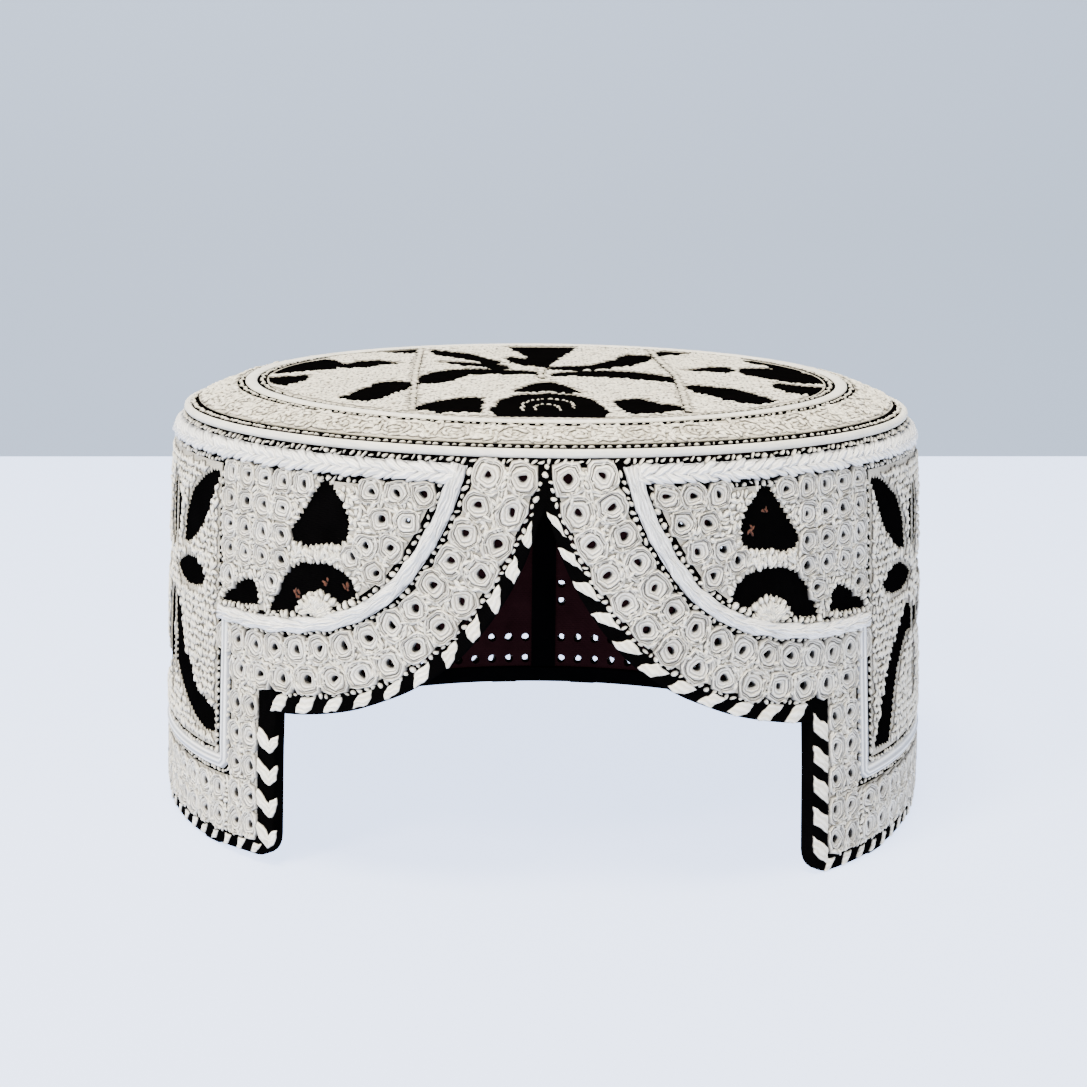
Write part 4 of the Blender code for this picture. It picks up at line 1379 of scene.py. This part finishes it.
def barred(points, lean=0.0, taper=0.0, rise=0.0):
    """A lobe squared in plan, then leant (x by y), tapered towards low y, and raised (y by x), with painted
    groove shade by height.
    """
    turns = np.arctan2(points[:, 1], points[:, 0])
    x, y = (points[:, k] * squared(1.0, 9.0, turns) for k in (0, 1))
    x = x * (1.0 - 0.5 * taper * (1.0 - y))
    up = np.sign(points[:, 2]) * np.abs(points[:, 2]) ** 0.45
    return dict(BAR, points=np.column_stack([x + lean * y, y + rise * x, up]),
                groove_shade=np.clip(2.2 * up, 0.0, 1.0))


def bars_at(s, z, half_length, half_width):
    """Rows for upright bars on the binding, at a place or at many."""
    return table(s, z, STITCH_BASE, 0.0, half_length, half_width, BAR_HEIGHT)


def beside_arch(side):
    """The binding read along the line of beads, on the right or, mirrored, on the left."""
    def place(a, b, out):
        s, z = binding_beads.at(a, b)
        return wall(side * s, z, out)
    return place


bar_stamps = []
for side, bar_lean, leaf_lean, first in ARCH_BARS:
    along = np.arange(first, binding_beads.length - 3.5, BAR_PITCH)
    tape = np.interp(along, binding_beads.far, arch[:, 2])
    high = along < LEAF_PART
    broad = np.where(high, LEAF_BROAD * BAR_HALF, BAR_HALF)
    bars = bars_at(along, -0.5 * (tape + 0.15), broad, 0.5 * (tape - 0.75))
    points = BAR["points"] * (side, 1.0, 1.0)
    bar_stamps.append(stamp(barred(points, bar_lean, 0.1), bars[~high], beside_arch(side)))
    bar_stamps.append(stamp(barred(points, leaf_lean, LEAF_TAPER), bars[high], beside_arch(side)))
chevron_levels = np.arange(33.0, 4.0, -6.9)
slant = barred(BAR["points"], rise=-0.85)
short_arm = barred(BAR["points"], rise=0.63)
tooth = barred(BAR["points"], 0.55, 0.2)
left_levels = np.arange(27.8, 4.0, -BAR_PITCH)
tooth_places = np.linspace(HEM_START - 3.0, HALF_GIRTH - 2.95, TEETH)
for unit, rows in ((slant, bars_at(66.2, chevron_levels, 2.45, 2.15)),
                   (slant, bars_at(-66.5, left_levels, 2.1, 1.75)),
                   (short_arm, bars_at(-63.4, left_levels - 0.35, 1.3, 1.75)),
                   (tooth, bars_at(np.concatenate([tooth_places, -tooth_places]), 1.75, 1.3, 1.3))):
    bar_stamps.append(stamp(unit, rows))
stitched_piece("binding_stitches", bar_stamps)

# %% [markdown]
# The rim is a round piping in the seam between wall and shoulder. A circle is spun round the cap's own
# axis, and the whole ring is then settled, which tips it down at the back like the rest of the rim.

# %% Turned pieces
TURN_STEPS = 240
RIM_CORD_RADIUS = 86.35
RIM_CORD_HALF = 0.95
RIM_CORD_SIDES = 12
CROWN_THICK = 1.6
SHOULDER_LENGTH = math.hypot(SHOULDER_OUT[0] - SHOULDER_IN[0], SHOULDER_IN[1] - SHOULDER_OUT[1])
SHOULDER_FIELD = (1.3, SHOULDER_LENGTH - 2.5)


def spun(profile, closed, name, material, replaces=()):
    """Turn a profile of (radius, height) points about the cap's axis, and settle it."""
    solid = bmesh.new()
    verts = [solid.verts.new((r, 0.0, z)) for r, z in profile]
    pairs = list(zip(verts, verts[1:])) + ([(verts[-1], verts[0])] if closed else [])
    edges = [solid.edges.new(pair) for pair in pairs]
    bmesh.ops.spin(solid, geom=verts + edges, cent=(0.0, 0.0, 0.0), axis=(0.0, 0.0, 1.0), angle=math.tau,
                   steps=TURN_STEPS, use_merge=True)
    bmesh.ops.remove_doubles(solid, verts=solid.verts[:], dist=1e-4)
    bmesh.ops.recalc_face_normals(solid, faces=solid.faces[:])
    for v in solid.verts:
        v.co = settle(*v.co)
    sheet_piece(name, solid, material, replaces)


cord_profile = circle((RIM_CORD_RADIUS, RIM_CORD_HEIGHT), RIM_CORD_HALF, RIM_CORD_SIDES)
shoulder_profile = [SHOULDER_OUT, SHOULDER_IN, (SHOULDER_IN[0], SHOULDER_IN[1] - CROWN_THICK),
                    (SHOULDER_OUT[0], SHOULDER_OUT[1] - CROWN_THICK)]
field_profile = [slope_point(SHOULDER_FIELD[k], out)
                 for k, out in ((0, FIELD_LOW), (1, FIELD_LOW), (1, FIELD_HIGH), (0, FIELD_HIGH))]
lining_top = CROWN_TOP - CROWN_THICK - GAP
lining_profile = [(0.0, lining_top), (71.9, lining_top), (84.6, 94.45), (84.3, 93.45),
                  (71.7, lining_top - LINING_THICK), (0.0, lining_top - LINING_THICK)]
band_profile = [(72.75, 99.55), (72.7, 99.85), (72.3, 100.1), (71.3, 100.22), (70.4, 100.1), (70.0, 99.85),
                (69.95, 99.65)]
spun(cord_profile, True, "rim_piping", piping_cloth, ["rim_cord"])
spun(shoulder_profile, True, "shoulder_cloth", black_cloth, ["shoulder_band"])
spun(field_profile, True, "cream_field_shoulder", cream_ground_in_shade)
spun(lining_profile, False, "crown_lining_cloth", maroon_lining, ["crown_lining"])
spun(band_profile, False, "crown_band", piping_cloth, ["crown_ring"])

# %% [markdown]
# Crown and shoulder are filled with the same short stitches. On the shoulder they lie every way, like
# worms, round rings of thread. Beads mark the rim and both edges of the white ring.

# %% Shoulder
HALF_ROUND = math.pi * SHOULDER_MIDDLE
BOX_END = HALF_ROUND + 0.8
BOX_LOW = 1.2
WORMS = {"pitch": 1.25, "row": 1.2, "half": (1.3, 0.46), "height": 0.6, "base": 0.1, "lean": 0.9,
         "wander": 2.6}
CURL_COUNT = 38
CURL_LEVEL = 5.9
CURL_RADII = (3.5, 2.0, 0.7)
CURL_ROOM = 0.6
CROWN_BEADS = (
    # radius, height, half length and width, height of a bead
    (85.1, 96.3, (0.7, 0.4), 0.5), (73.75, 99.3, (0.62, 0.34), 0.4), (68.75, 99.75, (0.62, 0.34), 0.4),
)
CROWN_BEAD_PITCH = 1.9
curl_places = table((np.arange(CURL_COUNT) + 0.5) * 2.0 * HALF_ROUND / CURL_COUNT - HALF_ROUND, CURL_LEVEL)
shoulder_box = np.array([(-BOX_END, BOX_LOW), (BOX_END, BOX_LOW), (BOX_END, SHOULDER_FIELD[1]),
                         (-BOX_END, SHOULDER_FIELD[1])])
worms = zigzag(shoulder_box, [], **WORMS)
worms = worms[clear_of(worms[:, :2], curl_places, CURL_RADII[0] + CURL_ROOM)]
curls = np.concatenate([beads_along(loop_path(circle(centre, radius, 16)), 1.7, (1.15, 0.44), 0.6, 0.05)
                        for centre in curl_places for radius in CURL_RADII])
curls[:, 2] = 0.15 + 0.25 * chance.random(len(curls))
stitched_piece("shoulder_stitches", [stamp(STITCH, worms, shoulder), stamp(STITCH, curls, shoulder)])


def ring_beads(radius, height, half, tall):
    count = round(math.tau * radius / CROWN_BEAD_PITCH)
    angle = math.tau * np.arange(count) / count
    turns = BEAD_TILT + 0.3 * (chance.random(count) - 0.5)
    rows = table(angle * radius, 0.0, 0.0, turns, half[0], half[1], tall)
    return stamp(BEAD, rows, lambda a, b, out: turned(a / radius, radius - b, height + out))


stitched_piece("crown_beads", [ring_beads(*ring) for ring in CROWN_BEADS])

# %% [markdown]
# The crown is a flat disc with a flower drawn in bare black patches: a four-armed flower in the middle,
# leaves round it, and domes and triangles at the rim. The chart is its plan, seen from above.

# %% Crown charts
CROWN_PATCHES = (
    ((0, -13.5), (3, -18), (8, -30), (5, -31), (2, -28.5), (0, -27.5), (-2, -29), (-5, -31), (-7, -29),
     (-3, -19)),
    ((0, -33), (5, -35), (9, -40), (11, -50), (13, -60), (11, -65), (-10, -65), (-11, -55), (-9, -43),
     (-6, -36)),
    ((-15, -41), (-17, -40), (-21, -43), (-24, -46), (-28, -54), (-26, -58), (-22, -61), (-15, -61),
     (-15, -50)),
    ((17, -42), (21, -39), (24, -45), (29, -49), (29, -53), (26, -58), (19, -60), (17, -54),
     (16, -47)),
    ((-3, 5), (-6, 7), (-12, 9), (-18, 10), (-22, 9), (-27, 3), (-29, -3), (-30, -12), (-30, -17),
     (-26, -17), (-24, -13), (-22, -8), (-20, -3), (-15, 0), (-8, 1), (-3, 1)),
    ((-33, -15), (-36, -14), (-39, -15), (-40, -20), (-42, -28), (-44, -36), (-46, -40), (-43, -44),
     (-40, -45), (-38, -41), (-36, -34), (-34, -27), (-33, -20)),
    ((2, 1), (5, 5), (9, 7), (14, 9), (20, 8), (24, 5), (29, 0), (31, -6), (31, -11), (28, -10),
     (24, -7), (20, -5), (13, -3), (6, -2), (2, -3)),
    ((34, -15), (38, -17), (43, -20), (46, -25), (49, -32), (51, -37), (49, -42), (46, -42), (42, -38),
     (38, -32), (35, -26)),
    ((-1, 14), (0, 22), (2, 33), (4, 45), (6, 55), (7, 66), (-11, 66), (-9, 60), (-7, 50), (-5, 42),
     (-3, 30)),
    ((-5, 17), (-8, 25), (-10, 32), (-9, 38), (-6, 32), (-4, 25)),
    ((-12, 23), (-16, 25), (-22, 33), (-26, 38), (-30, 47), (-31, 55), (-27, 51), (-22, 46), (-19, 40),
     (-16, 33), (-13, 27)),
    ((-10, 11), (-15, 14), (-20, 17), (-25, 22), (-27, 26), (-23, 25), (-18, 22), (-14, 21),
     (-11, 17)),
    ((1, 10), (8, 10), (14, 13), (20, 20), (24, 28), (26, 36), (27, 45), (22, 47), (20, 40), (18, 32),
     (15, 26), (12, 20), (7, 17), (2, 16)),
    ((29, 46), (30, 54), (33, 58), (38, 54), (35, 49), (32, 46)),
    ((-35, 46), (-35, 57), (-41, 53), (-47, 47), (-42, 49), (-38, 46)),
    ((-53, 13), (-53, 22), (-55, 29), (-58, 32), (-62, 24), (-65, 15), (-66, 6), (-66, 2), (-62, 4),
     (-58, 7), (-54, 9)),
    ((-50, 12), (-50, 21), (-47, 27), (-43, 28), (-38, 23), (-40, 20), (-43, 17), (-46, 13)),
    ((-66, -6), (-63, -4), (-60, -3), (-58, -2), (-58, -10), (-60, -16), (-62, -20), (-64, -14)),
    ((49, 10), (50, 20), (56, 21), (61, 18), (65, 12), (66, 4), (66, -5), (63, -8), (58, -5), (54, 0),
     (51, 5)),
    ((35, 13), (39, 17), (42, 21), (45, 22), (46, 18), (46, 12), (44, 9), (41, 12), (37, 12)),
    ((55, -8), (57, -10), (62, -13), (65, -13), (65, -18), (63, -22), (61, -26), (58, -25), (56, -20),
     (55, -13)),
    ((53, 40), (56, 35), (60, 29), (63, 22), (64, 17), (61, 18), (58, 24), (55, 29), (53, 34)),
)
CROWN_SEAMS = (
    ((-34, 57), (-33, 30), (-32, 0), (-31, -20), (-29.5, -50), (-29, -60)),
    ((28, 60), (28.5, 45), (30, 20), (31.5, 0), (31.5, -20), (31, -58)),
    ((-1, 10), (-1.5, 0), (-1, -8)),
)
DOTTED_ARCS = (
    ((-5, -60), (-5, -50), (-2.5, -44.5), (0.5, -43), (4, -45), (6, -50), (6, -56)),
    ((-2.5, -59), (-2, -52), (0.5, -50.5), (2.5, -53), (3, -59)),
)
SEAM_SLOT = 0.85


def slot_round(line, half):
    """A narrow closed outline along a line."""
    path = Path(smooth_rows(line, 3.0))
    along = np.arange(0.0, path.length, 2.5)
    left, right = (np.column_stack(path.at(along, side * half)) for side in (1.0, -1.0))
    return np.concatenate([left, right[::-1]])


def in_disc(points, radius):
    """Draw points that lie outside a circle back onto it."""
    reach = np.hypot(*points.T)[:, None]
    return points * np.minimum(1.0, radius / np.maximum(reach, 1e-6))


crown_patches = [in_disc(np.array(patch, float), CROWN_FIELD - 1.0) for patch in CROWN_PATCHES]
print(len(crown_patches), "bare patches on the crown")

# %% [markdown]
# The crown is laid up like the wall: black ground, a thin cream field that leaves out the patches, and
# short stitches. The camera sees it at a low angle, where raised stitches would hide the black behind
# them, so here they lie flatter. Two sewn seams and a short one in the middle are bare lines with knots.

# %% Crown
CROWN_SIDES = 160
CROWN_FIELD_HIGH = 0.12
CROWN_TEETH = (1.6, 0.6, 1.9)
CROWN_FILL = {"pitch": 1.05, "row": 1.6, "half": (1.4, 0.5), "height": 0.36, "base": 0.06, "lean": 0.5,
              "margin": 1.5, "wander": 2.2, "uneven": 0.15}
SEAM_ROOM = 1.5
SEAM_KNOTS = (1.5, (0.95, 0.24), 0.35, 1.2)
ARC_KNOTS = (1.6, (0.5, 0.26), 0.3, 0.1)
KNOT_LIFT = 0.4
crown_ground = cut_sheet(circle((0.0, 0.0), CROWN_FIELD + 3.0, CROWN_SIDES))
crown_ground = bend_onto(thicken(crown_ground, -CROWN_THICK, 0.0), crown)
sheet_piece("crown_ground", crown_ground, black_cloth, ["crown_panel"])
bare = [in_disc(toothed(patch, *CROWN_TEETH), CROWN_FIELD - 0.3) for patch in crown_patches]
bare += [slot_round(seam, SEAM_SLOT) for seam in CROWN_SEAMS]
crown_field = cut_sheet(circle((0.0, 0.0), CROWN_FIELD, CROWN_SIDES), patches=bare)
crown_field = bend_onto(thicken(crown_field, FIELD_LOW, CROWN_FIELD_HIGH), crown)
sheet_piece("cream_field_crown", crown_field, cream_ground_in_shade)
crown_rows = zigzag(circle((0.0, 0.0), CROWN_FIELD, 120), crown_patches, **CROWN_FILL)
for seam in CROWN_SEAMS:
    crown_rows = crown_rows[clear_of(crown_rows[:, :2], Path(smooth_rows(seam, 1.5)).dots(), SEAM_ROOM)]
stitched_piece("crown_stitches", [stamp(STITCH, crown_rows, crown)])


def crown_line(points, knots):
    rows = beads_along(Path(smooth_rows(points, 1.5)), *knots)
    rows[:, 2] = KNOT_LIFT
    return stamp(BEAD, rows, crown)


stitched_piece("crown_seam_beads", [crown_line(seam, SEAM_KNOTS) for seam in CROWN_SEAMS]
               + [crown_line(arc, ARC_KNOTS) for arc in DOTTED_ARCS])

# %% [markdown]
# A plain pale table, a far blue-grey wall and broad soft lamps. Table and wall glow a little themselves,
# which lights the cap from below and behind as the studio's white surroundings do.

# %% Stage and lamps
TABLE_END = 0.515
TABLE_YAW = math.radians(4.0)
WALL_AT = 3.0
CAP_MIDDLE = (0.0, 0.0, 0.05)
WARM = (1.0, 0.95, 0.86)
WHITE = (1.0, 1.0, 1.0)
LAMPS = (
    # name, place, target, size, watts, colour
    ("overhead", (-0.2, -0.4, 1.3), CAP_MIDDLE, 0.45, 50.0, WARM),
    ("front_left", (-0.9, -1.0, 1.0), CAP_MIDDLE, 0.35, 40.0, WARM),
    ("front_right", (1.2, -1.2, 0.6), CAP_MIDDLE, 0.7, 14.0, WARM),
    ("wall_wash", (-1.0, 1.6, 1.8), (0.0, WALL_AT, 1.4), 2.0, 34.0, WHITE),
)


def stage_material(name, colour, roughness, grain, glow, strength):
    """A plain, faintly mottled surface that also glows, to stand in for a lit studio."""
    material, shader = shader_of(name, colour, roughness)
    place = add_node(material, "ShaderNodeTexCoord")
    noise = add_node(material, "ShaderNodeTexNoise", Vector=place.outputs["Object"], Scale=grain,
                     Detail=3.0)
    mottled(material, shader, tuple(0.985 * c for c in colour), colour, noise.outputs["Fac"])
    shader.inputs["Emission Color"].default_value = (*glow, 1.0)
    shader.inputs["Emission Strength"].default_value = strength
    return material


def stage_plane(name, corners, material):
    sheet = bmesh.new()
    sheet.faces.new([sheet.verts.new(corner) for corner in corners])
    mesh = bpy.data.meshes.new(name)
    sheet.to_mesh(mesh)
    sheet.free()
    mesh.materials.append(material)
    plane = bpy.data.objects.new(name, mesh)
    bpy.context.scene.collection.objects.link(plane)


table_white = stage_material("table_white", (0.24, 0.245, 0.27), 0.8, 3.0, (0.57, 0.69, 1.0), 3.6)
wall_blue = stage_material("wall_blue", (0.52, 0.57, 0.63), 0.9, 1.0, (0.44, 0.63, 1.0), 0.7)
run = 4 * math.tan(TABLE_YAW)
stage_plane("table", [(-4, -4, 0), (4, -4, 0), (4, TABLE_END + run, 0), (-4, TABLE_END - run, 0)],
            table_white)
stage_plane("far_wall", [(-9, WALL_AT, -3), (9, WALL_AT, -3), (9, WALL_AT, 6), (-9, WALL_AT, 6)], wall_blue)

world = bpy.data.worlds.new("soft_room")
world.use_nodes = True
world.node_tree.nodes["Background"].inputs["Color"].default_value = (0.96, 0.98, 1.0, 1.0)
world.node_tree.nodes["Background"].inputs["Strength"].default_value = 0.45
bpy.context.scene.world = world

for name, place, target, size, power, colour in LAMPS:
    light = bpy.data.lights.new(name, "AREA")
    light.size = size
    light.energy = power
    light.color = colour
    lamp = bpy.data.objects.new(name, light)
    lamp.location = place
    lamp.rotation_euler = (Vector(target) - Vector(place)).to_track_quat("-Z", "Y").to_euler()
    bpy.context.scene.collection.objects.link(lamp)

print(len(LAMPS), "lamps")

# %% [markdown]
# The camera stands where the photograph was taken: half a metre in front of the cap and 16 cm above the
# table, looking down 11 degrees with a slight roll. Its focal length is in pixels of the square picture.

# %% Camera
PHOTO_SIDE = 1087.0
SENSOR = 36.0
FOCAL_PIXELS = 2103.0
CAMERA_PLACE = (-0.00026, -0.5130, 0.1615)
CAMERA_PITCH = 11.3
CAMERA_ROLL = 0.615
camera = bpy.data.objects.new("camera", bpy.data.cameras.new("camera"))
camera.data.sensor_width = SENSOR
camera.data.lens = FOCAL_PIXELS / PHOTO_SIDE * SENSOR
camera.data.clip_start = 0.01
camera.location = CAMERA_PLACE
look = Euler((math.radians(90.0 - CAMERA_PITCH), 0.0, 0.0)).to_matrix()
camera.rotation_euler = (look @ Matrix.Rotation(math.radians(CAMERA_ROLL), 3, "Z")).to_euler()
bpy.context.scene.collection.objects.link(camera)
bpy.context.scene.camera = camera
print(f"camera lens {camera.data.lens:.1f} mm")

# %% Sizes and finish
print(sum(KEPT.values()), "triangles in all pieces")
